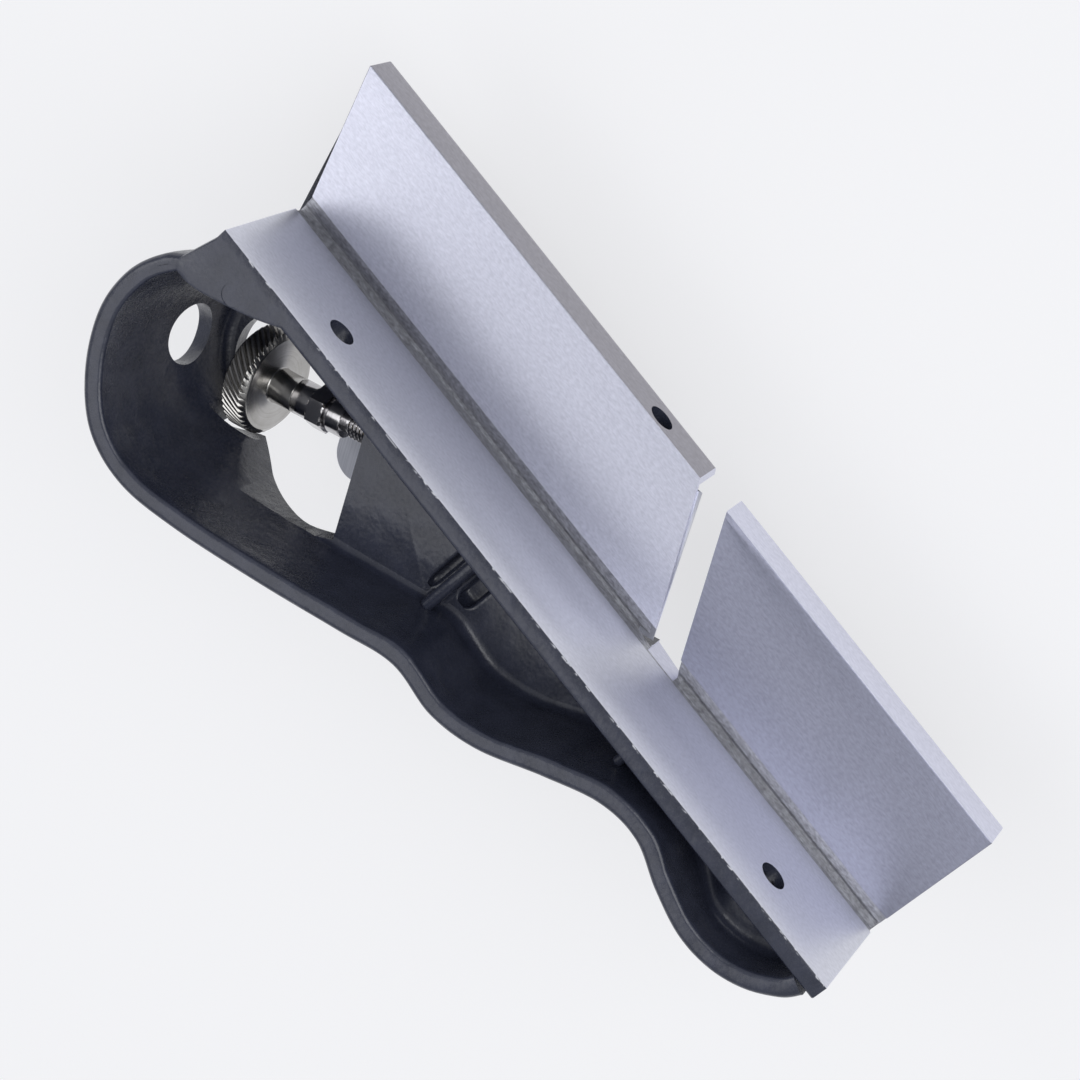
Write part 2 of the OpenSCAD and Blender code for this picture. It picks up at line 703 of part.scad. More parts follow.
// Turned spindle: shank in the wheel, shoulder, hexagon, groove, shoulder, neck and thread
shoulder_l = 3.7;
groove_l = 0.6;
neck_l = 1;
front_l = 3;
tip_at = pin_at - carriage_l / 2 - 1.6;
clip_l = 0.8;
clip_d = 7.6;
clip_groove_d = 3.4;
module adjuster_spindle() {
    hex_from = wheel_at - hub_l - shoulder_l;
    hex_to = hex_from - hex_l;
    front_from = hex_to - groove_l;
    front_to = front_from - front_l;
    clip_at = pin_at - carriage_l / 2 - run_c;
    color([0.76, 0.76, 0.78]) placed() on_bed() difference() {
        union() {
            spindle_part(wheel_at + wheel_w / 2, wheel_at - hub_l, thread_d);
            spindle_part(wheel_at - hub_l, hex_from, hub_d);
            translate([-hex_from, 0, spindle_h]) rotate([0, 90, 0])
                cylinder(d = hex_af / cos(30), h = hex_l, $fn = 6);
            spindle_part(hex_to, front_from, thread_d);
            spindle_part(front_from, front_to, hub_d);
            spindle_part(front_to, front_to - neck_l, thread_d - 2 * knurl_t);
            spindle_part(front_to - neck_l, tip_at, thread_d);
        }
        difference() {
            spindle_part(clip_at, clip_at - clip_l, thread_d + over, small_n);
            spindle_part(clip_at + over, clip_at - clip_l - over, clip_groove_d, small_n);
        }
    }
}

module spindle_clip() {
    clip_at = pin_at - carriage_l / 2 - run_c;
    color([0.4, 0.4, 0.42]) placed() on_bed() difference() {
        spindle_part(clip_at - run_c, clip_at - clip_l + run_c, clip_d);
        spindle_part(clip_at + over, clip_at - clip_l - over, clip_groove_d + 2 * run_c, small_n);
        translate([-clip_at, -clip_groove_d / 2, spindle_h]) cube([clip_l, clip_groove_d, clip_d]);
    }
}

module pivot_barrel() {
    color([0.72, 0.6, 0.36]) placed() on_bed() difference() {
        translate([-pivot_at, 0, seat_c]) cylinder(d = pivot_d, h = pocket_deep - 2 * seat_c, $fn = round_n);
        spindle_part(pivot_at + pivot_d, pivot_at - pivot_d, thread_d + 2 * run_c);
    }
}

module carriage() {
    color([0.72, 0.6, 0.36]) placed() on_bed() difference() {
        translate([-pin_at - carriage_l / 2, -carriage_w / 2, seat_c])
            cube([carriage_l, carriage_w, pocket_deep - 4 * seat_c - over / 2]);
        spindle_part(pin_at + carriage_l, pin_at - carriage_l, thread_d + 2 * run_c);
        translate([-pin_at, 0, -over]) cylinder(d = pin_d, h = over + pin_seat, $fn = small_n);
    }
}
pin_seat = 4;

module drive_pin() {
    color([0.75, 0.75, 0.77]) placed() on_bed() translate([-pin_at, 0, seat_c * 4 - blade_t])
        cylinder(d = pin_d, h = blade_t + pin_seat - seat_c * 4, $fn = small_n);
}

// Set screws: threaded studs with a hexagon socket at the outer end
module set_screw(l) {
    socket_af = 2.4;
    socket_l = 2.2;
    point_l = 1;
    difference() {
        union() {
            cylinder(d = set_d - 2 * run_c, h = l - point_l, $fn = round_n);
            translate([0, 0, l - point_l])
                cylinder(d1 = set_d - 2 * run_c, d2 = set_d / 2, h = point_l, $fn = round_n);
        }
        translate([0, 0, -over]) cylinder(d = socket_af / cos(30), h = over + socket_l, $fn = 6);
    }
}

set_l = 6.4;
// Place of the blade's side where a set screw meets it, and the screws' clearances from it at rest
function blade_side(x, side) =
    edge_y + (side * blade_w / 2 + sin(skew_a) * (x - edge_x)) / cos(skew_a);
side_tip_c = 1.5219;
side_tip_y = blade_side(side_screw_x, 1) + side_tip_c;
module side_set_screw() {
    color([0.13, 0.13, 0.14]) placed() translate([side_screw_x, side_tip_y + set_l, side_screw_z])
        rotate([90, 0, 0]) set_screw(set_l);
}

grip_tip_c = 1.5805;
grip_tip_y = blade_side(grip_screw_x, -1) - grip_tip_c;
module grip_set_screw() {
    color([0.13, 0.13, 0.14]) placed() translate([grip_screw_x, grip_tip_y - set_l, grip_screw_z])
        rotate([-90, 0, 0]) set_screw(set_l);
}

body_casting();
blade();
lever_cap();
lever_cap_screw();
lever_cap_knob();
lever_cap_stem();
lever_cap_foot();
adjuster_wheel();
adjuster_spindle();
spindle_clip();
pivot_barrel();
carriage();
drive_pin();
side_set_screw();
grip_set_screw();
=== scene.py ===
"""Looks of an edge trimming plane that lies on its back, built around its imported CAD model."""

import json
import math

import bmesh
import bpy
import numpy as np
from mathutils import Matrix, Vector


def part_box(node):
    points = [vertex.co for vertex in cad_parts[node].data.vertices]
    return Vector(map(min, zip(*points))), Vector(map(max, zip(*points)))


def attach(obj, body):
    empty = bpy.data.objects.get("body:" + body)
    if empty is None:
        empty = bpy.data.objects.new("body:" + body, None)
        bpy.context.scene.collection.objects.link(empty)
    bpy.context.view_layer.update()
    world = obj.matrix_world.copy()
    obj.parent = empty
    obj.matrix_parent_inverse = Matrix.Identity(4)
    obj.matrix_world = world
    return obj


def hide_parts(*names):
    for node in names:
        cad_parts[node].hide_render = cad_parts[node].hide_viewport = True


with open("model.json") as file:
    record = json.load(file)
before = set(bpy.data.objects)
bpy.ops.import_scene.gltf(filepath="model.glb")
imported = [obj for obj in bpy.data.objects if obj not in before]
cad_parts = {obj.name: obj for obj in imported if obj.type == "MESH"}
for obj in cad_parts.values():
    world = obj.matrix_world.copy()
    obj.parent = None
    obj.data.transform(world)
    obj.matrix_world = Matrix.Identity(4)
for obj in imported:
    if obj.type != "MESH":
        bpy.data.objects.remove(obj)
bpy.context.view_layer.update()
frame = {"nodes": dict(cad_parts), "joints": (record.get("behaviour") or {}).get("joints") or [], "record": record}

# Place of the tool. Its own measures are in millimetres from the heel end of the fence, on the
# sole's face: x runs to the toe, y across the sole away from the fence, z out of the sole.
sole_length, sole_width, fence_height = 152.4, 25.4, 28.575
millimetre = 0.001
casting_high = np.array(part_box("body_casting")[1])
fence_corner = casting_high - np.array([sole_length, sole_width, fence_height]) * millimetre
joints = {joint["name"]: joint for joint in frame["joints"]}
feed_way = np.array(joints["blade_feed"]["axis"])
bed_up = np.array(joints["lateral_swing"]["axis"])
bed_across = np.cross(bed_up, feed_way)
pivot_behind = 49.8
pivot_place = (np.array(joints["lateral_swing"]["pos_m"]) - fence_corner) / millimetre
edge_middle = pivot_place + pivot_behind * feed_way


def in_row(points):
    """Points of the tool's own frame, in millimetres, moved to the row frame, in metres."""
    return fence_corner + np.asarray(points, float) * millimetre


def on_bed(points):
    """Points given along the blade towards its edge, across it and up from the bed, from the middle
    of the edge, moved to the tool's own frame."""
    return edge_middle + np.asarray(points, float) @ np.stack([feed_way, bed_across, bed_up])


# Camera of the photograph, solved from the straight edges of the sole and the fence.
camera = bpy.data.objects.new("camera", bpy.data.cameras.new("camera"))
bpy.context.scene.collection.objects.link(camera)
camera.data.sensor_width = 36
camera.data.lens = 106.87
camera.data.clip_end = 20
camera_axes = np.array(
    [[0.62111, 0.69741, -0.35756], [-0.78207, 0.58114, -0.22503], [0.05085, 0.41941, 0.90637]]
)
camera_matrix = Matrix.Identity(4)
for row_number in range(3):
    for axis_number in range(3):
        camera_matrix[row_number][axis_number] = camera_axes[axis_number][row_number]
    camera_matrix[row_number][3] = in_row([95.3, 219.22, 482.18])[row_number]
camera.matrix_world = camera_matrix
bpy.context.scene.camera = camera

# Casting, frame part: the fence, the sole with its rail, the block that carries the blade's bed,
# the gusset and the ribs. It is grey iron, dipped in a dark satin coating and then ground on the
# faces that work: the sole, the inner face of the fence and the outer face of the rail.
plate = 3.5
web = 4.0
rail_depth, rail_width = 8.7, 4.2
heel_edge = np.array(
    [[0, 0], [0.1, 2.7], [1.97, 7.1], [4.6, 12.7], [8.0, 20.07], [9.4, 23.6], [9.1, 25.4]]
)


def skin(name, rings, ends=True):
    """Mesh whose rows are closed rings of points. Quads join each ring to the next, point to point
    and round the ring, and one flat face closes each end."""
    rings = np.asarray(rings, float)
    rows, count = rings.shape[:2]
    start = np.arange(rows - 1)[:, None] * count + np.arange(count)
    after = np.arange(rows - 1)[:, None] * count + (np.arange(count) + 1) % count
    quads = np.stack([start, after, after + count, start + count], -1).reshape(-1, 4)
    corners = [quads.ravel()]
    sizes = [np.full(len(quads), 4)]
    if ends:
        corners += [np.arange(count)[::-1], (rows - 1) * count + np.arange(count)]
        sizes += [np.array([count, count])]
    corners, sizes = np.concatenate(corners), np.concatenate(sizes)
    mesh = bpy.data.meshes.new(name)
    mesh.vertices.add(rows * count)
    mesh.vertices.foreach_set("co", in_row(rings.reshape(-1, 3)).ravel())
    mesh.loops.add(len(corners))
    mesh.loops.foreach_set("vertex_index", corners)
    mesh.polygons.add(len(sizes))
    mesh.polygons.foreach_set("loop_start", np.cumsum(sizes) - sizes)
    mesh.update(calc_edges=True)
    mesh.validate()
    piece = bpy.data.objects.new(name, mesh)
    bpy.context.scene.collection.objects.link(piece)
    facing_out(piece)
    return piece


def face_facts(mesh):
    """Centre, normal and area of every face."""
    count = len(mesh.polygons)
    centre, normal, area = np.zeros(count * 3), np.zeros(count * 3), np.zeros(count)
    mesh.polygons.foreach_get("center", centre)
    mesh.polygons.foreach_get("normal", normal)
    mesh.polygons.foreach_get("area", area)
    return centre.reshape(-1, 3), normal.reshape(-1, 3), area


def facing_out(piece):
    """Turns every face outwards. The signed volume, the sum over the faces of centre times normal
    times area, is negative while they all face inwards."""
    centre, normal, area = face_facts(piece.data)
    if (((centre - centre.mean(0)) * normal).sum(1) * area).sum() < 0:
        piece.data.flip_normals()


def upright(outline, low, high):
    """Two rings: a flat outline of (x, y) points at one height and at another."""
    outline = np.asarray(outline, float)
    flat = np.broadcast_to(outline, (2,) + outline.shape)
    heights = np.broadcast_to(np.array([low, high])[:, None, None], (2, len(outline), 1))
    return np.concatenate([flat, heights], -1)


def prism(name, outline, low, high):
    """A flat outline carried straight up from one height to another."""
    return skin(name, upright(outline, low, high))


def bed_prism(name, outline, low, high):
    """An outline on the bed, along and across the blade, carried up square to the bed."""
    return skin(name, on_bed(upright(outline, low, high)))


def oblong(low, high):
    """The four corners of a rectangle."""
    return [[low[0], low[1]], [high[0], low[1]], [high[0], high[1]], [low[0], high[1]]]


def turned(name, start, way, rows, sides=96, shape=None, twist=0.0):
    """A turned piece: each row is a distance along the axis and a radius, carried round the axis as
    a circle. A shape, when given, changes the radius by distance, radius and angle, and a twist
    turns each row back by its angle for each millimetre along the axis."""
    rows, way = np.asarray(rows, float), np.asarray(way, float)
    side = np.cross(way, [0.0, 0.0, 1.0]) if abs(way[2]) < 0.9 else np.cross(way, [0.0, 1.0, 0.0])
    side /= np.linalg.norm(side)
    up = np.cross(way, side)
    angle = 2 * np.pi * np.arange(sides) / sides
    along, radius = rows[:, :1], np.repeat(rows[:, 1:2], sides, 1)
    if shape:
        radius = shape(along, radius, angle[None, :])
    angle = (angle[None, :] - twist * along)[..., None]
    round_part = np.cos(angle) * side + np.sin(angle) * up
    return skin(name, np.asarray(start) + along[..., None] * way + radius[..., None] * round_part)


def rod(name, start, end, radius, sides=96):
    """A round bar between two points."""
    start, end = np.asarray(start, float), np.asarray(end, float)
    length = np.linalg.norm(end - start)
    return turned(name, start, (end - start) / length, [[0, radius], [length, radius]], sides)


def bed_rod(name, start, end, radius, sides=96):
    """A round bar between two points given on the bed."""
    return rod(name, on_bed(start), on_bed(end), radius, sides)


def settle(piece):
    """Applies the piece's modifiers to its mesh."""
    view = bpy.context.evaluated_depsgraph_get()
    mesh = bpy.data.meshes.new_from_object(piece.evaluated_get(view))
    piece.modifiers.clear()
    piece.data = mesh


def combine(piece, other, way):
    """Joins another solid to a piece, cuts it out of it or keeps what both share."""
    step = piece.modifiers.new("combine", "BOOLEAN")
    step.operation, step.object, step.solver = way, other, "EXACT"
    bpy.context.view_layer.update()
    settle(piece)
    bpy.data.objects.remove(other)


def soften(piece, width, segments=2, angle=40):
    """Breaks the sharp edges with a small round."""
    step = piece.modifiers.new("broken edges", "BEVEL")
    step.width, step.segments = width * millimetre, segments
    step.limit_method, step.angle_limit = "ANGLE", math.radians(angle)
    step.use_clamp_overlap = False
    bpy.context.view_layer.update()
    settle(piece)


def smooth_shade(piece, angle=35):
    """Shades the piece smooth, apart from edges sharper than an angle."""
    piece.data.shade_smooth()
    piece.data.set_sharp_from_angle(angle=math.radians(angle))


def smooth_curve(points, steps):
    """A smooth curve through points: between two of them, a cubic whose slope at each is half the
    way between its neighbours."""
    points = np.asarray(points, float)
    before = points[np.maximum(np.arange(len(points) - 1) - 1, 0)][:, None]
    after = points[np.minimum(np.arange(len(points) - 1) + 2, len(points) - 1)][:, None]
    here, there = points[:-1, None], points[1:, None]
    t = (np.arange(steps) / steps)[None, :, None]
    curve = 2 * here + (there - before) * t + (2 * before - 5 * here + 4 * there - after) * t**2
    curve = (curve + (3 * here - before - 3 * there + after) * t**3) / 2
    return np.vstack([curve.reshape(-1, points.shape[1]), points[-1:]])


def corner(centre, radius, start, end, count=6):
    """Points of an arc in a plane, from one angle to another, in degrees."""
    turn = np.radians(np.linspace(start, end, count))
    return np.asarray(centre) + radius * np.stack([np.cos(turn), np.sin(turn)], -1)


def eased(value):
    """Rises smoothly from 0 to 1 as the value does."""
    value = np.clip(value, 0, 1)
    return value * value * (3 - 2 * value)


# the L-shaped section, carried from the heel's slanted edge to the toe
strip, recess, groove = 2.55, 0.8, 1.25
cast_round, ground_round, rail_round, web_fillet, back_round = 0.9, 0.25, 1.0, 1.6, 2.0
rail_inside = sole_width - rail_width
step_in = strip - 0.25
section = np.vstack(
    [
        corner([-plate + cast_round, fence_height - cast_round], cast_round, 180, 90),
        corner([-ground_round, fence_height - ground_round], ground_round, 90, 0, 3),
        [[0, strip], [-recess, step_in], [-recess, 0.7], [-groove, 0.1]],
        [[-groove, -groove], [0.1, -groove], [0.7, -recess], [step_in, -recess], [strip, 0]],
        corner([sole_width - ground_round, -ground_round], ground_round, 90, 0, 3),
        corner([sole_width - cast_round, -rail_depth + cast_round], cast_round, 0, -90),
        corner([rail_inside + rail_round, -rail_depth + rail_round], rail_round, -90, -180, 4),
        corner([rail_inside - web_fillet, -web - web_fillet], web_fillet, 0, 90, 4),
        corner([-plate + back_round, -web + back_round], back_round, -90, -180),
    ]
)
heel_curve = smooth_curve(heel_edge, 6)
along_section = np.roll(section, -1, 0) - np.roll(section, 1, 0)
into_iron = np.stack([along_section[:, 1], -along_section[:, 0]], -1)
into_iron /= np.linalg.norm(into_iron, axis=1)[:, None]
end_round = 0.22
end_turn = np.radians(np.linspace(90, 0, 4))
way_in, inset = end_round * (1 - np.sin(end_turn)), end_round * (1 - np.cos(end_turn))
rings = section + np.concatenate([inset, inset[::-1]])[:, None, None] * into_iron
heel_places = way_in[:, None] - np.interp(rings[:4, :, 0], heel_curve[:, 1], heel_curve[:, 0])
toe_places = sole_length - np.broadcast_to(way_in[::-1, None], heel_places.shape)
stations = np.concatenate([np.vstack([heel_places, toe_places])[..., None], rings], -1)
casting_frame = skin("casting_frame", stations)

# the grip's outer edge from the fence's heel end round to its toe end, in shares of the sole's
# length and of the grip's depth, and where its cross-sections meet the fence
grip_depth = 44.3
outline_shares = [
    [0.000, 0.079], [-0.005, 0.170], [-0.027, 0.260], [-0.041, 0.418], [-0.033, 0.610],
    [0.003, 0.812], [0.056, 0.960], [0.121, 1.000], [0.197, 0.937], [0.302, 0.799],
    [0.394, 0.664], [0.459, 0.573], [0.525, 0.580], [0.584, 0.519], [0.650, 0.375],
    [0.709, 0.262], [0.761, 0.239], [0.814, 0.302], [0.866, 0.343], [0.912, 0.330],
    [0.951, 0.271], [0.981, 0.176], [0.992, 0.102],
]
root_shares = np.array(
    [[0, 0.09], [0.18, 0.17], [0.27, 0.21], [0.42, 0.34], [0.58, 0.54], [0.75, 0.71], [1, 0.94]]
)
outline = smooth_curve(np.array(outline_shares) * [sole_length, -grip_depth], 12)
step_lengths = np.linalg.norm(np.diff(outline, axis=0), axis=1)
way_share = np.concatenate([[0], np.cumsum(step_lengths)]) / step_lengths.sum()
root = np.stack(
    [
        np.interp(way_share, root_shares[:, 0], root_shares[:, 1]) * sole_length,
        np.full(len(outline), -plate / 2),
    ],
    -1,
)
reach = np.linalg.norm(root - outline, axis=1)
inward = (root - outline) / reach[:, None]
tangent = np.gradient(outline, axis=0)
tangent /= np.linalg.norm(tangent, axis=1)[:, None]
square = np.abs(inward[:, 0] * tangent[:, 1] - inward[:, 1] * tangent[:, 0])

# the block under the bed, as high as the grip's floor inside the grip and flush in the web outside
block_rear, block_front, block_half = -55.4, 12.0, 18.6
block_deep = 18.0
cheek_height = 4.5
middle_floor = 10.0
plan_way = feed_way[:2] / np.linalg.norm(feed_way[:2])
block_plan = edge_middle[:2] + np.array(
    oblong([block_rear, -block_half], [block_front, block_half])
) @ np.stack([plan_way, bed_across[:2]])
inside_grip = np.vstack(
    [outline + inward * (2.6 / square)[:, None], [[sole_length, -0.5], [0, -0.5]]]
)
block = prism("block", block_plan, -block_deep, middle_floor + 0.03)
combine(block, prism("inside", inside_grip, -block_deep - 1, middle_floor + 1), "INTERSECT")
block_outside = prism("block_outside", block_plan, -block_deep - 0.5, -1.5)
under_sole = oblong([0, -plate + 0.05], [sole_length, sole_width - 0.05])
combine(block_outside, prism("outside", under_sole, -block_deep - 1, 1), "INTERSECT")
combine(block, block_outside, "UNION")
above_cheeks = oblong([-2 * sole_length, -2 * block_half], [sole_length, 2 * block_half])
combine(block, bed_prism("above", above_cheeks, -4 * block_deep, -cheek_height), "DIFFERENCE")

# the gusset that ties the rim to the fence at the heel, with a small round cast mark on it
gusset_length, gusset_depth, gusset_height = 18.6, 11.7, 3.5
gusset_shares = [
    [1.00, 0.20], [0.92, 0.32], [0.65, 0.59], [0.28, 0.88],
    [0.09, 0.975], [-0.08, 1.00], [-0.16, 1.20],
]
gusset_edge = smooth_curve(np.array(gusset_shares) * [gusset_length, -gusset_depth], 6)
gusset_plan = np.vstack([[[0.02, -plate / 2], [gusset_length + 3, -plate / 2]], gusset_edge])
gusset = prism("gusset", gusset_plan, fence_height - gusset_height, fence_height)
soften(gusset, 0.5)
mark_place, mark_radius = np.array([8.5, -6.2, fence_height]), 2.0
cast_mark = rod("cast_mark", mark_place - [0, 0, 0.12], mark_place + [0, 0, 1], mark_radius, 48)
combine(gusset, cast_mark, "DIFFERENCE")
combine(casting_frame, gusset, "UNION")


def rib(name, x, thickness, reach, base, top):
    """A rib across the grip: an upright with a flared foot and a round top, whose height falls off
    in a round at its free end."""
    half = thickness / 2
    flare = 0.9
    foot = corner([half + flare, flare], flare, 270, 180, 5)
    crown = corner([0, 0], half, 0, 180, 9)
    ends = half * (1 - np.sqrt(1 - (1 - np.linspace(0, 1, 6)) ** 2))
    places = np.concatenate([-reach + half * np.linspace(0, 1, 6), [-plate / 2]])
    tops = np.concatenate([top - half - ends * 2, [top - half]])
    widths = np.concatenate([1 - 0.75 * ends / half, [1]])
    rings = []
    for place, height, width in zip(places, tops, widths):
        right = foot * [width, 1] + [0, base]
        arch = crown * [width, 1] + [0, height]
        left = (foot * [-width, 1] + [0, base])[::-1]
        foot_half = half * width + flare
        flat = np.vstack([right, arch, left, [[-foot_half, base - 1], [foot_half, base - 1]]])
        rings.append(np.stack([x + flat[:, 0], np.full(len(flat), place), flat[:, 1]], -1))
    return skin(name, rings)


rib_x, rib_thickness, rib_reach = 65.2, 2.3, 22.6

# the boss of the side set screw, inside the rail
side_screw = np.array([65.5, sole_width, -3.23])
boss = rod("boss", side_screw - [0, 2, 0], side_screw - [0, 8.4, 0], 4.5)
under_face = oblong([side_screw[0] - 6, side_screw[1] - 10], [side_screw[0] + 6, side_screw[1] - 1])
combine(boss, prism("under_face", under_face, -rail_depth + 0.1, -1), "INTERSECT")
for part in (
    boss,
    block,
    rib("rib", rib_x, rib_thickness, rib_reach, middle_floor, 13.5),
    rib("neck_rib", 104.6, 1.8, 9.0, 14.5, 21.0),
):
    combine(casting_frame, part, "UNION")

# the open mouth, from the inside corner right across the sole and the rail
mouth_start, mouth_length = 93.27, 6.65
rear_slant, front_slant = math.tan(math.radians(32.4)), math.tan(math.radians(32.0))
mouth_plan = [
    [mouth_start + recess * rear_slant, -recess],
    [mouth_start + mouth_length + recess * front_slant, -recess],
    [mouth_start + mouth_length - (sole_width + 1) * front_slant, sole_width + 1],
    [mouth_start - (sole_width + 1) * rear_slant, sole_width + 1],
]
channel_half = 14.6
channel_plan = oblong([-4 * block_half, -channel_half], [0.5, channel_half])
spindle_height, cap_screw_behind, pocket_deep = 9.9, 28.0, 14.8


def bed_openings():
    """Solids cut out of the bed: the blade's channel, the carriage's pocket, the pivot's socket,
    the spindle's bore and the lever cap screw's hole."""
    return [
        bed_prism("channel", channel_plan, -2 * rail_depth, 0),
        bed_prism("pocket", oblong([-44.65, -5], [-34.55, 5]), -1, pocket_deep),
        bed_prism("tip_pocket", oblong([-35.5, -4.5], [-32.95, 4.5]), -1, pocket_deep),
        bed_rod("socket", [-pivot_behind, 0, -1], [-pivot_behind, 0, pocket_deep], 3.75),
        bed_rod("bore", [-57.4, 0, spindle_height], [-40.5, 0, spindle_height], 3.1),
        bed_rod("cap_hole", [-cap_screw_behind, 0, -1], [-cap_screw_behind, 0, 4.6], 2.5),
    ]


def floor_slot(name, x, width, reach, bottom, flare):
    """A groove across the grip's floor: a brink that rounds off over the flare, upright walls and a
    round bottom, which all run out to nothing at the free end."""
    half, turn = width / 2, 0.6
    right = np.vstack(
        [
            [[half + flare, middle_floor + 0.6]],
            corner([half + flare, middle_floor - flare], flare, 90, 180),
            corner([half - turn, bottom + turn], turn, 0, -90),
        ]
    )
    profile = np.vstack([right, (right * [-1, 1])[::-1]])
    end = np.linspace(0, 1, 7)
    places = np.concatenate([-reach + 2.2 * end, [-plate - 0.05]])
    depths = np.concatenate([np.sqrt(1 - (1 - np.maximum(end, 0.02)) ** 2), [1]])
    rings = []
    sunk = profile[:, 1] - middle_floor
    for place, depth in zip(places, depths):
        height = middle_floor + sunk * np.where(sunk < 0, depth, 1)
        across = x + profile[:, 0] * (0.35 + 0.65 * depth)
        rings.append(np.stack([across, np.full(len(profile), place), height], -1))
    return skin(name, rings)


def add(tree, kind, inputs, **settings):
    """A new node of a material. Settings are its own choices, and an input is a value or the output
    of another node."""
    made = tree.nodes.new(kind)
    for key, value in settings.items():
        setattr(made, key, value)
    for key, value in inputs.items():
        if isinstance(value, bpy.types.NodeSocket):
            tree.links.new(value, made.inputs[key])
        else:
            made.inputs[key].default_value = value
    return made


def new_finish(name, metallic, roughness):
    """A new material with its tree, its shader and the object's coordinates."""
    made = bpy.data.materials.new(name)
    made.use_nodes = True
    shader = made.node_tree.nodes["Principled BSDF"]
    shader.inputs["Metallic"].default_value = metallic
    shader.inputs["Roughness"].default_value = roughness
    place = add(made.node_tree, "ShaderNodeTexCoord", {}).outputs["Object"]
    return made, made.node_tree, shader, place


def noise(tree, place, scale, detail=3.0, stretch=(1, 1, 1)):
    """Noise whose cells are one over scale long, in metres, and pulled out along an axis by a small
    stretch there."""
    scales = [scale * share for share in stretch]
    pulled = add(tree, "ShaderNodeMapping", {"Vector": place, "Scale": scales}).outputs[0]
    inputs = {"Vector": pulled, "Scale": 1.0, "Detail": detail}
    return add(tree, "ShaderNodeTexNoise", inputs).outputs["Fac"]


def maths(tree, operation, first, second):
    """Two numbers, or outputs, put together by an operation."""
    return add(tree, "ShaderNodeMath", {0: first, 1: second}, operation=operation).outputs[0]


def blend_colours(tree, share, low, high):
    """Mixes two colours, or two outputs, by a share from 0 to 1."""
    mix = add(tree, "ShaderNodeMix", {0: share}, data_type="RGBA")
    for socket, value in ((mix.inputs[6], low), (mix.inputs[7], high)):
        if isinstance(value, bpy.types.NodeSocket):
            tree.links.new(value, socket)
        else:
            socket.default_value = (*value, 1)
    return mix.outputs[2]


def between(tree, value, low, high, to_low=0.0, to_high=1.0):
    """Maps a value from one range to another, held at the ends."""
    inputs = {"Value": value, "From Min": low, "From Max": high}
    inputs.update({"To Min": to_low, "To Max": to_high})
    return add(tree, "ShaderNodeMapRange", inputs).outputs["Result"]


def dented(tree, shader, height, depth, under=None):
    """Gives the shader a bump of a height that is read from 0 to 1, over a depth in metres."""
    inputs = {"Height": height, "Distance": depth, "Strength": 1.0}
    if under:
        inputs["Normal"] = under
    bump = add(tree, "ShaderNodeBump", inputs)
    tree.links.new(bump.outputs["Normal"], shader.inputs["Normal"])
    return bump.outputs["Normal"]


def coating():
    """Dark satin coating over cast iron: a soft orange peel, a finer grain, and bare chips where
    the grinding wheel broke it along the fence's edge."""
    made, tree, shader, place = new_finish("satin coating", 0.0, 0.36)
    broad = noise(tree, place, 260, 2)
    fine = noise(tree, place, 1500, 3)
    deep_tone, light_tone = (0.028, 0.032, 0.052), (0.042, 0.047, 0.074)
    bare_iron = (0.62, 0.63, 0.68)
    colour = blend_colours(tree, between(tree, broad, 0.3, 0.7), deep_tone, light_tone)
    chips = between(tree, noise(tree, place, 1900, 3, (0.4, 1, 1)), 0.57, 0.61)
    chips_start, chips_full = 0.00042, 0.00022
    split = add(tree, "ShaderNodeSeparateXYZ", {"Vector": place})
    edge = in_row([0, 0, fence_height])
    for axis in (1, 2):
        near = between(tree, split.outputs[axis], edge[axis] - chips_start, edge[axis] - chips_full)
        chips = maths(tree, "MULTIPLY", chips, near)
    tree.links.new(blend_colours(tree, chips, colour, bare_iron), shader.inputs["Base Color"])
    shader.inputs["Specular IOR Level"].default_value = 0.7
    rough = between(tree, fine, 0.3, 0.7, 0.2, 0.34)
    tree.links.new(rough, shader.inputs["Roughness"])
    under = dented(tree, shader, broad, 0.00018)
    dented(tree, shader, fine, 0.000035, under)
    return made


def toned(tree, shader, marks, clouds, light, dark):
    """Colours the shader from dark to light by the sum of the marks and the clouds."""
    share = between(tree, maths(tree, "ADD", marks, clouds), 0.7, 1.3)
    tree.links.new(blend_colours(tree, share, dark, light), shader.inputs["Base Color"])


def ground_iron(name, light, dark, roughness):
    """Ground iron: fine short streaks along the sole, over slow clouds of tone."""
    made, tree, shader, place = new_finish(name, 1.0, roughness)
    streaks = noise(tree, place, 5200, 2, (0.22, 1, 1))
    clouds = noise(tree, place, 1900, 3, (0.6, 1, 1))
    toned(tree, shader, streaks, clouds, light, dark)
    shader.inputs["Anisotropic"].default_value = 0.6
    round_x = add(tree, "ShaderNodeTangent", {}, direction_type="RADIAL", axis="X")
    tree.links.new(round_x.outputs[0], shader.inputs["Tangent"])
    dented(tree, shader, streaks, 0.000012)
    return made


def dress(piece, *finishes):
    """Gives the piece its materials, in place of any that it has."""
    piece.data.materials.clear()
    for finish in finishes:
        piece.data.materials.append(finish)


# Casting, grip: a hollow wall of even thickness that follows the hand round the heel, along the
# side in two waves and into the fence at the toe. It is cast in one with the frame part.
rim_width = 3.5
rim_outer_round, rim_inner_round = 1.3, 0.7
floor_thickness, floor_fillet, palm_round = 3.6, 2.2, 7.0
heel_floor, neck_floor, toe_floor = -7.0, 16.0, 19.5
rim_height = fence_height - 0.03
place_share = outline[:, 0] / sole_length
floor_height = (
    heel_floor
    + (middle_floor - heel_floor) * eased((place_share - 0.12) / 0.15)
    + (neck_floor - middle_floor) * eased((place_share - 0.65) / 0.05)
    + (toe_floor - neck_floor) * eased((place_share - 0.83) / 0.07)
)


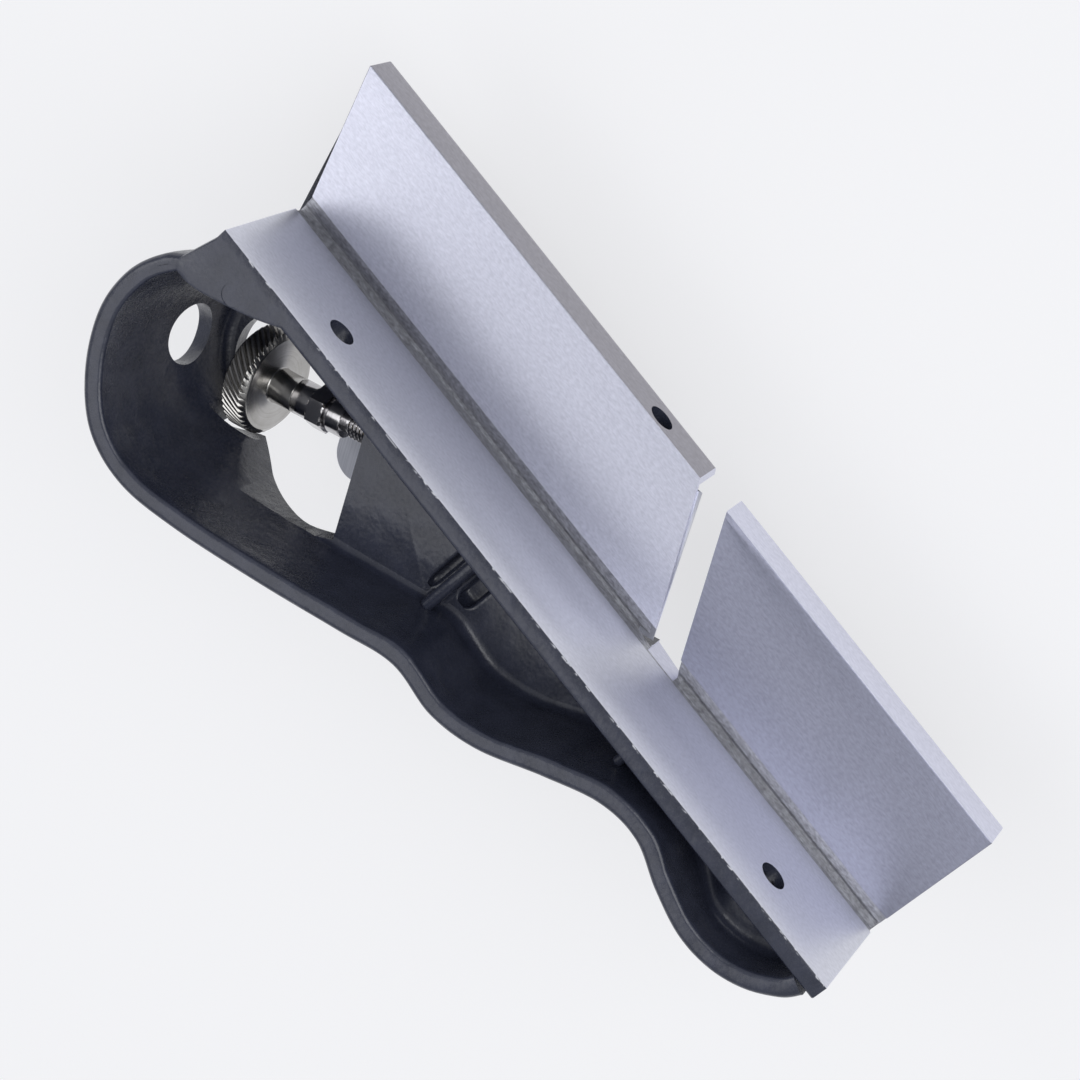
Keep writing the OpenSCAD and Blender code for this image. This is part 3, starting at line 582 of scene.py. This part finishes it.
def wall_place(wall, depth):
    """How far a wall lies in from the outline at each depth under the rim: it leans in with the
    square of the depth, most beside the heel, and never by more than its share of the reach."""
    heel = 1 + 1.2 * (1 - eased(way_share / 0.2))
    limit = (0.6 * reach * square)[:, None]
    lean = limit * (1 - np.exp(-heel[:, None] * depth**2 / 220 / limit))
    return (wall + lean) / square[:, None]


def wall_side(wall, rim_round, floor, fillet, side):
    """One side of the grip's cross-sections: a round at the rim, the leaning wall, a fillet and the
    floor up to the fence, as depth inward and height."""
    floor = floor[:, None]
    room = (reach[:, None] - wall_place(wall, fence_height - floor)) / 2
    fillet = np.minimum(fillet, room)
    deep = rim_height - floor - fillet
    rim_turn = np.radians(np.linspace(0, 90, 6))[None, :]
    rim_depth = np.broadcast_to(rim_round * (1 - np.cos(rim_turn)), (len(outline), 6))
    round_off = side * rim_round * (1 - np.sin(rim_turn))
    rim_q = wall_place(wall, rim_depth) + round_off / square[:, None]
    rim_z = rim_height - rim_depth
    down = rim_round + (deep - rim_round) * np.linspace(0, 1, 14)[None, 1:]
    wall_q = wall_place(wall, down)
    arc = np.radians(np.linspace(0, 90, 8))[None, 1:]
    arc_q = wall_place(wall, deep) + fillet * (1 - np.cos(arc))
    arc_z = floor + fillet * (1 - np.sin(arc))
    flat_q = arc_q[:, -1:] + (reach[:, None] - arc_q[:, -1:]) * np.linspace(0, 1, 6)[None, 1:]
    flat_z = np.broadcast_to(floor, flat_q.shape)
    heights = np.hstack([rim_z, rim_height - down, arc_z, flat_z])
    return np.hstack([rim_q, wall_q, arc_q, flat_q]), heights


inner_q, inner_z = wall_side(rim_width, rim_inner_round, floor_height, floor_fillet, -1)
outer_q, outer_z = wall_side(0, rim_outer_round, floor_height - floor_thickness, palm_round, 1)
ring_q = np.hstack([inner_q, outer_q[:, ::-1]])
ring_z = np.hstack([inner_z, outer_z[:, ::-1]])
ring_plan = outline[:, None, :] + inward[:, None, :] * ring_q[..., None]
casting_grip = skin("casting_grip", np.concatenate([ring_plan, ring_z[..., None]], -1))

# the opening under the wheel, which starts at the corner of the bed block
scoop_shares = [
    [0.00, 0.00], [0.11, 0.15], [0.24, 0.26], [0.37, 0.35], [0.46, 0.38], [0.61, 0.38],
    [0.80, 0.29], [0.95, 0.08], [1.01, -0.17], [0.98, -0.42], [0.85, -0.62], [0.62, -0.70],
]
plan_across = bed_across[:2]
block_corner = edge_middle[:2] + (block_rear + 0.5) * plan_way
scoop_tip = block_corner - plan_across * (29 + block_corner[1]) / plan_across[1]
scoop_top = block_corner - plan_across * (4.5 + block_corner[1]) / plan_across[1]
scoop_edge = smooth_curve(scoop_tip - np.array(scoop_shares) * [39, 20], 8)
wheel_front, wheel_width, wheel_radius, wheel_gap = 78.1, 5.5, 9.525, 0.8
hang_centre = np.array([2.8, -30.2, 3.0])
hang_way = np.array([0.6509, 0.6509, 0.3907])
hang_radius, stud_hole = 5.5, 2.4
grip_screw = np.array([62, -30, -8.6])
hole_places = [23.1, 23.1 + 111.125]
hole_height, hole_radius = 18.35, 2.525
groove_width, groove_floor, pit_width, pit_floor = 1.5, 8.3, 3.0, 7.4


def casting_openings(spare):
    """Solids cut out of both parts of the casting: the fence's holes, the mouth, the opening under
    the wheel, the wheel's space, the hang hole, the groove and the recess beside the rib, and the
    set screws' holes. The groove and the recess are larger by the spare, so only one part shows."""
    wheel_end = [-wheel_front - wheel_width - 2 * wheel_gap, 0, spindle_height]
    hub_end = [-wheel_front + 4.6, 0, spindle_height]
    groove_x = rib_x - rib_thickness / 2 - 1.3
    pit_x = rib_x + rib_thickness / 2 + 2.2
    groove_reach, pit_reach = rib_reach - 2.4 + spare, rib_reach - 4.8 + spare
    groove_sizes = groove_width + 2 * spare, groove_reach, groove_floor - spare, 0.6
    pit_sizes = pit_width + 2 * spare, pit_reach, pit_floor - spare, 0.8
    holes = [
        rod("fence_hole", [x, 1, hole_height], [x, -plate - 1, hole_height], hole_radius)
        for x in hole_places
    ]
    return holes + [
        prism("mouth", mouth_plan, -2 * rail_depth, 1),
        prism("scoop", np.vstack([scoop_edge, scoop_top]), -14.5, 11),
        bed_rod("wheel_space", wheel_end, hub_end, wheel_radius + wheel_gap),
        rod("hang", hang_centre - 11 * hang_way, hang_centre + 11 * hang_way, hang_radius),
        floor_slot("floor_groove", groove_x, *groove_sizes),
        floor_slot("floor_pit", pit_x, *pit_sizes),
        rod("grip_hole", grip_screw, grip_screw + [0, 13.7, 0], stud_hole),
        rod("screw_hole", side_screw + [0, 1, 0], side_screw - [0, 12.7, 0], stud_hole),
    ]


for part, spare in ((casting_frame, 0), (casting_grip, 0.3)):
    for opening in casting_openings(spare) + bed_openings():
        combine(part, opening, "DIFFERENCE")
dress(
    casting_frame,
    coating(),
    ground_iron("ground sole", (0.8, 0.81, 0.93), (0.66, 0.67, 0.78), 0.36),
    ground_iron("milled recess", (0.6, 0.61, 0.67), (0.3, 0.3, 0.34), 0.42),
    ground_iron("broken groove", (0.6, 0.61, 0.65), (0.3, 0.3, 0.33), 0.5),
    # a darker copy of the sole's ground iron: painted shade for the darker reflection on the sole ahead of the
    # mouth
    ground_iron("ground toe painted shade", (0.41, 0.42, 0.53), (0.33, 0.34, 0.43), 0.42),
    ground_iron("ground fence", (0.78, 0.79, 0.87), (0.64, 0.65, 0.72), 0.38),
    # a darker copy of the ground iron for the rail behind the mouth: painted shade for its darker reflection
    ground_iron("ground rear rail painted shade", (0.44, 0.43, 0.47), (0.34, 0.33, 0.36), 0.42),
)

# which faces of the frame the wheel and the cutter reached, from their places and their slopes
centre, normal = face_facts(casting_frame.data)[:2]
spot = (centre - fence_corner) / millimetre
x, y, z = spot.T
on_sole = (normal[:, 2] > 0.7) & (z > -0.4) & (z < 0.1) & (y > 0)
on_fence = (normal[:, 1] > 0.7) & (y > -0.4) & (y < 0.1) & (z > 0)
on_rail = (normal[:, 1] > 0.7) & (y > sole_width - 0.2)
rear_line = mouth_start - y * rear_slant
front_line = mouth_start + mouth_length - y * front_slant
at_mouth = (x > rear_line - 0.5) & (x < front_line + 0.5) & (y > -0.9)
deep_strip = ((y < strip + 0.1) & (z < 0.1)) | ((z < strip + 0.1) & (y < 0.1))
deep_strip &= (y > -1.3) & (z > -1.3)
deepest = deep_strip & (y < 0.5) & (z < 0.5) & (y + z < -0.4)
on_bed_face = (normal @ bed_up < -0.9) & (np.abs((spot - edge_middle) @ bed_up) < 0.2)
choice = np.zeros(len(spot), int)
ahead = x > (rear_line + front_line) / 2
choice[on_sole | on_rail | at_mouth | on_bed_face] = 1
# the sole ahead of the mouth takes the darker copy, painted shade standing in for its darker reflection
choice[on_sole & ahead] = 4
choice[on_fence] = 5
# the rail behind the mouth takes the darker copy, painted shade, while the rail ahead keeps the light one
choice[on_rail & ~ahead] = 6
choice[deep_strip] = 2
choice[deepest] = 3
casting_frame.data.polygons.foreach_set("material_index", choice)
dress(casting_grip, casting_frame.data.materials[0])
for part in (casting_frame, casting_grip):
    smooth_shade(part)
    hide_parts("body_casting")
    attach(part, "casting")

# Blade: a flat bar of tool steel with round rear corners, ground all over and bevelled on the side
# away from the bed. It lies skewed on the bed with its edge in the mouth, and is held by the cap.
seat = 0.05
blade_half, blade_length, blade_thick, blade_round = 13.5, 69.5, 3.2, 4.8
blade_bevel = math.tan(math.radians(25))
pin_behind = 40.5


def long_round(low, high, radius):
    """Outline of a slot along the blade, with round ends."""
    rear, front = corner([low, 0], radius, 270, 90, 16), corner([high, 0], radius, 90, -90, 16)
    return np.vstack([rear, front])


rear_corner = [-blade_length + blade_round, blade_half - blade_round]
blade_plan = np.vstack(
    [
        [[0, -blade_half]],
        corner([rear_corner[0], -rear_corner[1]], blade_round, 270, 180, 14),
        corner(rear_corner, blade_round, 180, 90, 14),
        [[0, blade_half]],
    ]
)
blade = bed_prism("blade_bar", blade_plan, -seat - blade_thick, -seat)
blade_slot = long_round(-cap_screw_behind - 5.5, -cap_screw_behind + 5.5, 3.2)
combine(blade, bed_prism("slot", blade_slot, -2 * blade_thick, 1), "DIFFERENCE")
pin_hole = bed_rod("pin_hole", [-pin_behind, 0, -2 * blade_thick], [-pin_behind, 0, 1], 2.05)
combine(blade, pin_hole, "DIFFERENCE")
soften(blade, 0.12)
bevel_top, bevel_run = -0.02, 10
bevel_low = bevel_top - bevel_run * blade_bevel
bevel_ring = np.array([[0, bevel_top], [-bevel_run, bevel_low], [3, bevel_low], [3, bevel_top]])
bevel_rings = [
    np.stack([bevel_ring[:, 0], np.full(4, across), bevel_ring[:, 1] - seat], -1)
    for across in (-20, 20)
]
combine(blade, skin("bevel", on_bed(bevel_rings)), "DIFFERENCE")
smooth_shade(blade)


def vector_maths(tree, operation, inputs, wanted="Vector"):
    """An operation on vectors, whose result is a vector, or a value where that is wanted."""
    return add(tree, "ShaderNodeVectorMath", inputs, operation=operation).outputs[wanted]


def aligned(tree, place, ways):
    """The object's coordinates measured along three ways of a piece."""
    parts = [vector_maths(tree, "DOT_PRODUCT", {0: place, 1: way}, "Value") for way in ways]
    return add(tree, "ShaderNodeCombineXYZ", dict(enumerate(parts))).outputs[0]


def ground_steel(name, ways, light, dark, roughness):
    """Ground steel: fine straight lines along the first of three ways, over slow clouds."""
    made, tree, shader, place = new_finish(name, 1.0, roughness)
    place = aligned(tree, place, ways)
    lines = noise(tree, place, 6000, 2, (0.02, 1, 1))
    clouds = noise(tree, place, 120, 2)
    toned(tree, shader, lines, clouds, light, dark)
    shader.inputs["Anisotropic"].default_value = 0.5
    shader.inputs["Tangent"].default_value = ways[0]
    dented(tree, shader, lines, 0.00001)
    return made


blade_ways = (bed_across, feed_way, bed_up)
dress(blade, ground_steel("ground blade", blade_ways, (0.78, 0.79, 0.85), (0.56, 0.57, 0.63), 0.3))
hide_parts("blade")
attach(blade, "feed")

# Adjuster wheel: turned from steel bar and plated, with slanted knurling that is chamfered off at
# both sides, a plain turned face and a short hub. It is fixed on the end of the spindle.
wheel_back = wheel_front + wheel_width
knurls, knurl_depth, knurl_lean = 44, 0.5, -math.radians(24) / 4.1
hub_radius, hub_top = 3.175, 10.6
band = np.linspace(0.95, wheel_width - 0.95, 10)
side_rows = np.array([[0, 8.3], [0.06, 8.45], [0.35, 8.75], [0.65, 9.2]])
hub_rows = [[0, 3.5], [0.06, 3.32], [0.2, 3.2], [0.36, hub_radius]]
wheel_rows = np.vstack(
    [
        [[0.3, 0.05], [0.3, 2.2], [0.06, 2.5], [0, 2.6]],
        side_rows,
        np.stack([band, np.full(10, wheel_radius)], -1),
        [wheel_width, 0] + side_rows[::-1] * [-1, 1],
        [wheel_width, 0] + np.array(hub_rows),
        [[hub_top - 0.14, hub_radius], [hub_top - 0.04, 3.12], [hub_top, 3.02], [hub_top, 2.4]],
        [[8, 2.4], [8, 0.05]],
    ]
)


def ridged(radius, angle, count, crest):
    """Knurling: a radius of the crest less a clipped triangle wave of the angle. A row that lies
    deeper than the grooves stays round."""
    wave = count * angle / (2 * np.pi)
    ridge = np.clip(1.75 * (1 - np.abs(2 * (wave % 1) - 1)), 0, 1)
    return np.minimum(radius, crest - knurl_depth * (1 - ridge))


def knurled(along, radius, angle):
    """The wheel's knurling, which the twist of the rows slants."""
    return ridged(radius, angle, knurls, wheel_radius)


wheel_start = on_bed([-wheel_back, 0, spindle_height])
wheel = turned("wheel", wheel_start, feed_way, wheel_rows, knurls * 16, knurled, knurl_lean)
smooth_shade(wheel, 28)


def turned_metal(name, centre, way, light, dark, roughness, marks_depth=0.000006):
    """Turned metal: fine rings about the axis in tone and height, with the gloss drawn out across
    them. The tangent is the axis crossed with the way from it."""
    made, tree, shader, place = new_finish(name, 1.0, roughness)
    centre, way = in_row(centre), np.asarray(way, float)
    offset = vector_maths(tree, "SUBTRACT", {0: place, 1: centre})
    along = vector_maths(tree, "DOT_PRODUCT", {0: offset, 1: way}, "Value")
    on_axis = vector_maths(tree, "SCALE", {0: way, "Scale": along})
    outward = vector_maths(tree, "SUBTRACT", {0: offset, 1: on_axis})
    radius = vector_maths(tree, "LENGTH", {0: outward}, "Value")
    around = vector_maths(tree, "CROSS_PRODUCT", {0: way, 1: outward})
    tree.links.new(vector_maths(tree, "NORMALIZE", {0: around}), shader.inputs["Tangent"])
    flat = add(tree, "ShaderNodeCombineXYZ", {0: radius, 1: along}).outputs[0]
    marks = noise(tree, flat, 7000, 2)
    toned(tree, shader, marks, noise(tree, place, 350, 3), light, dark)
    shader.inputs["Anisotropic"].default_value = 0.55
    dented(tree, shader, marks, marks_depth)
    return made


# The wheel's plating is a darker copy of the knob's: painted shade for the shadowed table and the dark grip that
# the wheel reflects.
plating = (0.52, 0.51, 0.5), (0.4, 0.39, 0.37), 0.2, 0.000003
dress(wheel, turned_metal("plated steel darkened as painted shade", wheel_start, feed_way, *plating))
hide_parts("adjuster_wheel")
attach(wheel, "wheel")

# Spindle: one turned bar with a shoulder against the hub, a hexagon for a spanner, a second
# shoulder between two narrow necks, and a fine thread through the pivot to the clip's groove.
shank_end = wheel_back - wheel_width / 2
hex_rear, hex_front, hex_flat = 69.3, 65.9, 3.5
thread_start, thread_end = 61.3, 36.5
thread_radius, thread_pitch, thread_depth = 2.4, 0.794, 0.46
spindle_marks = [
    [shank_end, 0.05], [shank_end, 2.35], [73.0, 2.35], [73.0, 3.0], [72.96, 3.12], [72.86, 3.175],
    [hex_rear, 3.175], [hex_rear, 3.5], [69.05, 4.0], [68.9, 4.05], [66.3, 4.05], [66.15, 4.0],
    [hex_front, 3.5], [hex_front, 2.4], [65.3, 2.4], [65.3, 3.0], [65.13, 3.175], [62.5, 3.175],
    [62.3, 3.0], [62.3, 1.9], [61.4, 1.9], [61.3, 2.0],
]
clip_groove = [37.25, 38.05]
thread_places = np.arange(thread_start - 0.1, thread_end, -0.1)
in_groove = (thread_places > clip_groove[0]) & (thread_places < clip_groove[1])
thread_radii = np.where(in_groove, 1.7, thread_radius)
thread_radii = np.minimum(thread_radii, 2.0 + (thread_start - thread_places))
thread_radii = np.minimum(thread_radii, 1.9 + (thread_places - thread_end))
thread_rows = np.stack([thread_places, thread_radii], -1)
spindle_rows = np.vstack([spindle_marks, thread_rows, [[thread_end, 1.8], [thread_end, 0.05]]])
spindle_rows[:, 0] = shank_end - spindle_rows[:, 0]


def threaded(along, radius, angle, crest, pitch, depth):
    """A right-hand thread: its depth is a clipped triangle wave of the distance in pitches less the
    angle in turns."""
    wave = along / pitch - angle / (2 * np.pi)
    groove = np.clip(1.3 * np.abs(2 * (wave % 1) - 1) - 0.15, 0, 1)
    return np.minimum(radius, crest - depth * groove)


def spindle_shape(along, radius, angle):
    """The thread in front, and the hexagon, whose radius is the flat's over the cosine of the angle
    from its middle."""
    behind = shank_end - along
    thread = threaded(along, radius, angle, thread_radius, thread_pitch, thread_depth)
    from_flat = angle % (math.pi / 3) - math.pi / 6
    hexagon = np.minimum(radius, hex_flat / np.cos(from_flat))
    shaped = np.where(behind < thread_start - 0.05, thread, radius)
    on_hexagon = (behind < hex_rear + 0.01) & (behind > hex_front - 0.01) & (radius > 3.3)
    return np.where(on_hexagon, hexagon, shaped)


spindle_start = on_bed([-shank_end, 0, spindle_height])
spindle = turned("spindle", spindle_start, feed_way, spindle_rows, 96, spindle_shape)
smooth_shade(spindle, 30)
turned_steel = (0.56, 0.55, 0.56), (0.42, 0.41, 0.42), 0.15
dress(spindle, turned_metal("turned steel", wheel_start, feed_way, *turned_steel))
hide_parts("adjuster_spindle")
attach(spindle, "wheel")

# Clip, pivot, carriage and pin: the brass pivot turns in the bed and carries the spindle in a
# cross bore. The brass carriage, held on the spindle's tip by a spring clip, moves the blade's pin.


def refined(node, width, finish):
    """A copy of a CAD piece whose triangles are merged into whole faces, with its edges broken."""
    mesh = frame["nodes"][node].data.copy()
    work = bmesh.new()
    work.from_mesh(mesh)
    bmesh.ops.remove_doubles(work, verts=work.verts, dist=0.000001)
    bmesh.ops.dissolve_limit(work, angle_limit=math.radians(1), verts=work.verts, edges=work.edges)
    work.to_mesh(mesh)
    work.free()
    piece = bpy.data.objects.new(node + "_finished", mesh)
    bpy.context.scene.collection.objects.link(piece)
    soften(piece, width, 2, 30)
    smooth_shade(piece, 30)
    dress(piece, finish)
    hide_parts(node)
    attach(piece, [name for name, nodes in body_nodes.items() if node in nodes][0])
    return piece


body_nodes = frame["record"]["behaviour"]["bodies"]
pivot_top = on_bed([-pivot_behind, 0, 0])
pin_top = on_bed([-pin_behind, 0, 0])
brass_light, brass_dark = (0.72, 0.56, 0.3), (0.5, 0.37, 0.18)
brass = turned_metal("turned brass", pivot_top, bed_up, brass_light, brass_dark, 0.28)
milled = ground_steel("milled brass", blade_ways, (0.7, 0.55, 0.3), brass_dark, 0.32)
blued = (0.2, 0.2, 0.22), (0.1, 0.1, 0.12), 0.35
spring = turned_metal("spring steel", wheel_start, feed_way, *blued)
pin_steel = turned_metal("pin steel", pin_top, bed_up, (0.75, 0.75, 0.77), (0.5, 0.5, 0.53), 0.25)
for node, width, finish, slot in (
    ("spindle_clip", 0.08, spring, "spring_steel"),
    ("pivot_barrel", 0.2, brass, "brass"),
    ("carriage", 0.2, milled, "brass"),
    ("drive_pin", 0.25, pin_steel, "bright_steel"),
):
    refined(node, width, finish)

# Lever cap: a cast iron cap with the same satin coating, hollow underneath, whose keyhole hooks
# over a slotted steel screw in the bed. It bears on the blade at its tip and through the foot.
cap = refined("lever_cap", 0.5, casting_frame.data.materials[0])
cap_under, cap_screw_deep = 9.35, 4.5
head_height = 2.4
cap_screw_start = on_bed([-cap_screw_behind, 0, -cap_under - head_height])
screw_tip = head_height + cap_under + cap_screw_deep
cap_screw_rows = [
    [0, 0.05], [0, 3.5], [0.06, 3.8], [0.22, 4.15], [0.45, 4.4], [0.7, 4.5],
    [head_height - 0.15, 4.5], [head_height, 4.35], [head_height, 2.48],
    [screw_tip - 0.4, 2.48], [screw_tip, 2.1], [screw_tip, 0.05],
]
cap_screw = turned("cap_screw", cap_screw_start, bed_up, cap_screw_rows, 96)
driver_plan = oblong([-cap_screw_behind - 6, -0.6], [-cap_screw_behind + 6, 0.6])
driver_heights = -cap_under - head_height - 1, -cap_under - head_height / 2
combine(cap_screw, bed_prism("driver_slot", driver_plan, *driver_heights), "DIFFERENCE")
smooth_shade(cap_screw, 30)
screw_steel = (0.72, 0.72, 0.74), (0.5, 0.5, 0.52), 0.24
dress(cap_screw, turned_metal("screw steel", cap_screw_start, bed_up, *screw_steel))
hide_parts("lever_cap_screw")
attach(cap_screw, "casting")

# Knob: turned and plated like the wheel, with straight knurling and a dished face. Its threaded
# stem runs through the lever cap, and the brass foot at the stem's tip presses on the blade.
knob_behind, knob_radius, knob_height, knob_face = 48.5, 8.5, 7.0, 17.6
knob_knurls, stem_radius, foot_radius, foot_height = 48, 2.8, 4.5, 1.1
knob_band = np.linspace(0.75, knob_height - 0.75, 4)
knob_side = np.array([[0, 6.9], [0.05, 7.1], [0.4, 7.9]])
knob_rows = np.vstack(
    [
        [[0.5, 0.05], [0.5, 3.6], [0.42, 4.3], [0.12, 5.2], [0, 5.5]],
        knob_side,
        np.stack([knob_band, np.full(4, knob_radius)], -1),
        [knob_height, 0] + knob_side[::-1] * [-1, 1],
        [knob_height, 0] + np.array([[0, 4.4], [-0.2, 4.2], [-0.2, stem_radius], [-0.2, 0.05]]),
    ]
)


def knob_shape(along, radius, angle):
    """The knob's straight knurling."""
    return ridged(radius, angle, knob_knurls, knob_radius)


knob_start = on_bed([-knob_behind, 0, -knob_face])
knob = turned("knob", knob_start, bed_up, knob_rows, knob_knurls * 12, knob_shape)
stem_rows = np.arange(knob_height / 2, knob_face - blade_thick - 2 * seat - foot_height, 0.1)
stem_rows = np.stack([stem_rows, np.full(len(stem_rows), stem_radius)], -1)
stem_rows = np.vstack([[[stem_rows[0, 0], 0.05]], stem_rows, [[stem_rows[-1, 0], 0.05]]])


def stem_shape(along, radius, angle):
    """The stem's thread."""
    return threaded(along, radius, angle, stem_radius, thread_pitch, thread_depth)


stem = turned("stem", knob_start, bed_up, stem_rows, 96, stem_shape)
foot_start = on_bed([-knob_behind, 0, -blade_thick - 2 * seat - foot_height])
foot_rows = [
    [0, 0.05], [0, 4.0], [0.08, 4.3], [0.25, foot_radius], [foot_height - 0.25, foot_radius],
    [foot_height - 0.08, 4.35], [foot_height, 4.1], [foot_height, 0.05],
]
foot = turned("foot", foot_start, bed_up, foot_rows, 96)
knob_plating = (0.8, 0.79, 0.77), (0.62, 0.6, 0.57), 0.2
stem_finish = (0.75, 0.75, 0.76), (0.5, 0.5, 0.52), 0.2
knob_steel = turned_metal("plated knob", knob_start, bed_up, *knob_plating)
stem_steel = turned_metal("stem steel", knob_start, bed_up, *stem_finish)
foot_brass = turned_metal("foot brass", knob_start, bed_up, brass_light, brass_dark, 0.28)
for piece, node, finish, slot, body in (
    (knob, "lever_cap_knob", knob_steel, "nickel", "knob"),
    (stem, "lever_cap_stem", stem_steel, "bright_steel", "knob"),
    (foot, "lever_cap_foot", foot_brass, "foot_brass", "foot"),
):
    smooth_shade(piece, 30)
    dress(piece, finish)
    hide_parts(node)
    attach(piece, body)

# Set screws: blackened studs with a hexagon socket, one through the rail and one through the block
# on the grip's side, which hold the blade sideways.
set_radius, set_length, set_pitch, set_depth = 2.35, 6.4, 0.8, 0.38
socket_radius, socket_deep = 1.2 / math.cos(math.pi / 6), 2.2
set_places = np.arange(0.25, set_length - 1, 0.1)
set_rows = np.vstack(
    [
        [[0, 0.05], [0, 2.0]],
        np.stack([set_places, np.full(len(set_places), set_radius)], -1),
        [[set_length - 1, 2.3], [set_length, 1.2], [set_length, 0.05]],
    ]
)


def set_shape(along, radius, angle):
    """The set screw's thread, which fades into the chamfer and the point."""
    return np.minimum(radius, threaded(along, radius, angle, set_radius, set_pitch, set_depth))


blackened = (0.06, 0.06, 0.065), (0.025, 0.025, 0.03), 0.38
for name, start, way in (
    ("side_set_screw", [side_screw[0], 17.2 + set_length, side_screw[2]], [0, -1, 0]),
    ("grip_set_screw", [grip_screw[0], -19.3 - set_length, grip_screw[2]], [0, 1, 0]),
):
    way = np.array(way, float)
    stud = turned(name + "_stud", start, way, set_rows, 64, set_shape)
    socket_rows = [[0, socket_radius], [socket_deep + 0.5, socket_radius]]
    combine(stud, turned("socket", np.array(start) - 0.5 * way, way, socket_rows, 6), "DIFFERENCE")
    smooth_shade(stud, 30)
    dress(stud, turned_metal("black steel", start, way, *blackened))
    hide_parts(name)
    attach(stud, "side_screw" if name == "side_set_screw" else "grip_screw")

# Floor, backdrop and lights: a plain pale table under three soft boxes, on the heel's side, the
# grip's side and the sole's side. The camera and the metal see the table nearly white.
floor_mesh = bpy.data.meshes.new("floor")
floor_mesh.from_pydata([(-3, -3, 0), (3, -3, 0), (3, 3, 0), (-3, 3, 0)], [], [(0, 1, 2, 3)])
floor = bpy.data.objects.new("floor", floor_mesh)
bpy.context.scene.collection.objects.link(floor)
floor_finish = bpy.data.materials.new("table")
floor_finish.use_nodes = True
table_shader = floor_finish.node_tree.nodes["Principled BSDF"]
table_shader.inputs["Base Color"].default_value = (0.93, 0.94, 0.97, 1)
table_shader.inputs["Roughness"].default_value = 0.9
tree = floor_finish.node_tree
ray = add(tree, "ShaderNodeLightPath", {}).outputs
seen = maths(tree, "MAXIMUM", ray["Is Camera Ray"], ray["Is Glossy Ray"])
seen = maths(tree, "MULTIPLY", seen, 0.65)
white = {"Color": (0.985, 0.985, 1.0, 1), "Strength": 1.0}
glow = add(tree, "ShaderNodeEmission", white).outputs[0]
mixed = add(tree, "ShaderNodeMixShader", {0: seen, 1: table_shader.outputs[0], 2: glow}).outputs[0]
tree.links.new(mixed, tree.nodes["Material Output"].inputs["Surface"])
floor.data.materials.append(floor_finish)
world = bpy.data.worlds.new("studio")
bpy.context.scene.world = world
world.use_nodes = True
world.node_tree.nodes["Background"].inputs["Color"].default_value = (0.9, 0.92, 0.97, 1)
world.node_tree.nodes["Background"].inputs["Strength"].default_value = 0.4
aim = in_row([76, 0, 0])
for name, way, size, away, glow in (
    ("heel_side_box", [-0.64, -0.22, 0.73], 0.7, 1.4, 1.5),
    ("grip_side_box", [-0.15, -0.5, 0.85], 0.9, 1.4, 0.9),
    ("sole_side_box", [0.4, 0.5, 0.77], 1.2, 1.4, 1.9),
):
    lamp = bpy.data.objects.new(name, bpy.data.lights.new(name, "AREA"))
    lamp.data.shape, lamp.data.size = "SQUARE", size
    lamp.data.energy = glow * math.pi * size**2
    way = way / np.linalg.norm(way)
    lamp.location = aim + away * way
    lamp.rotation_euler = Vector(way).to_track_quat("Z", "Y").to_euler()
    bpy.context.scene.collection.objects.link(lamp)
bpy.context.scene.view_settings.view_transform = "Standard"
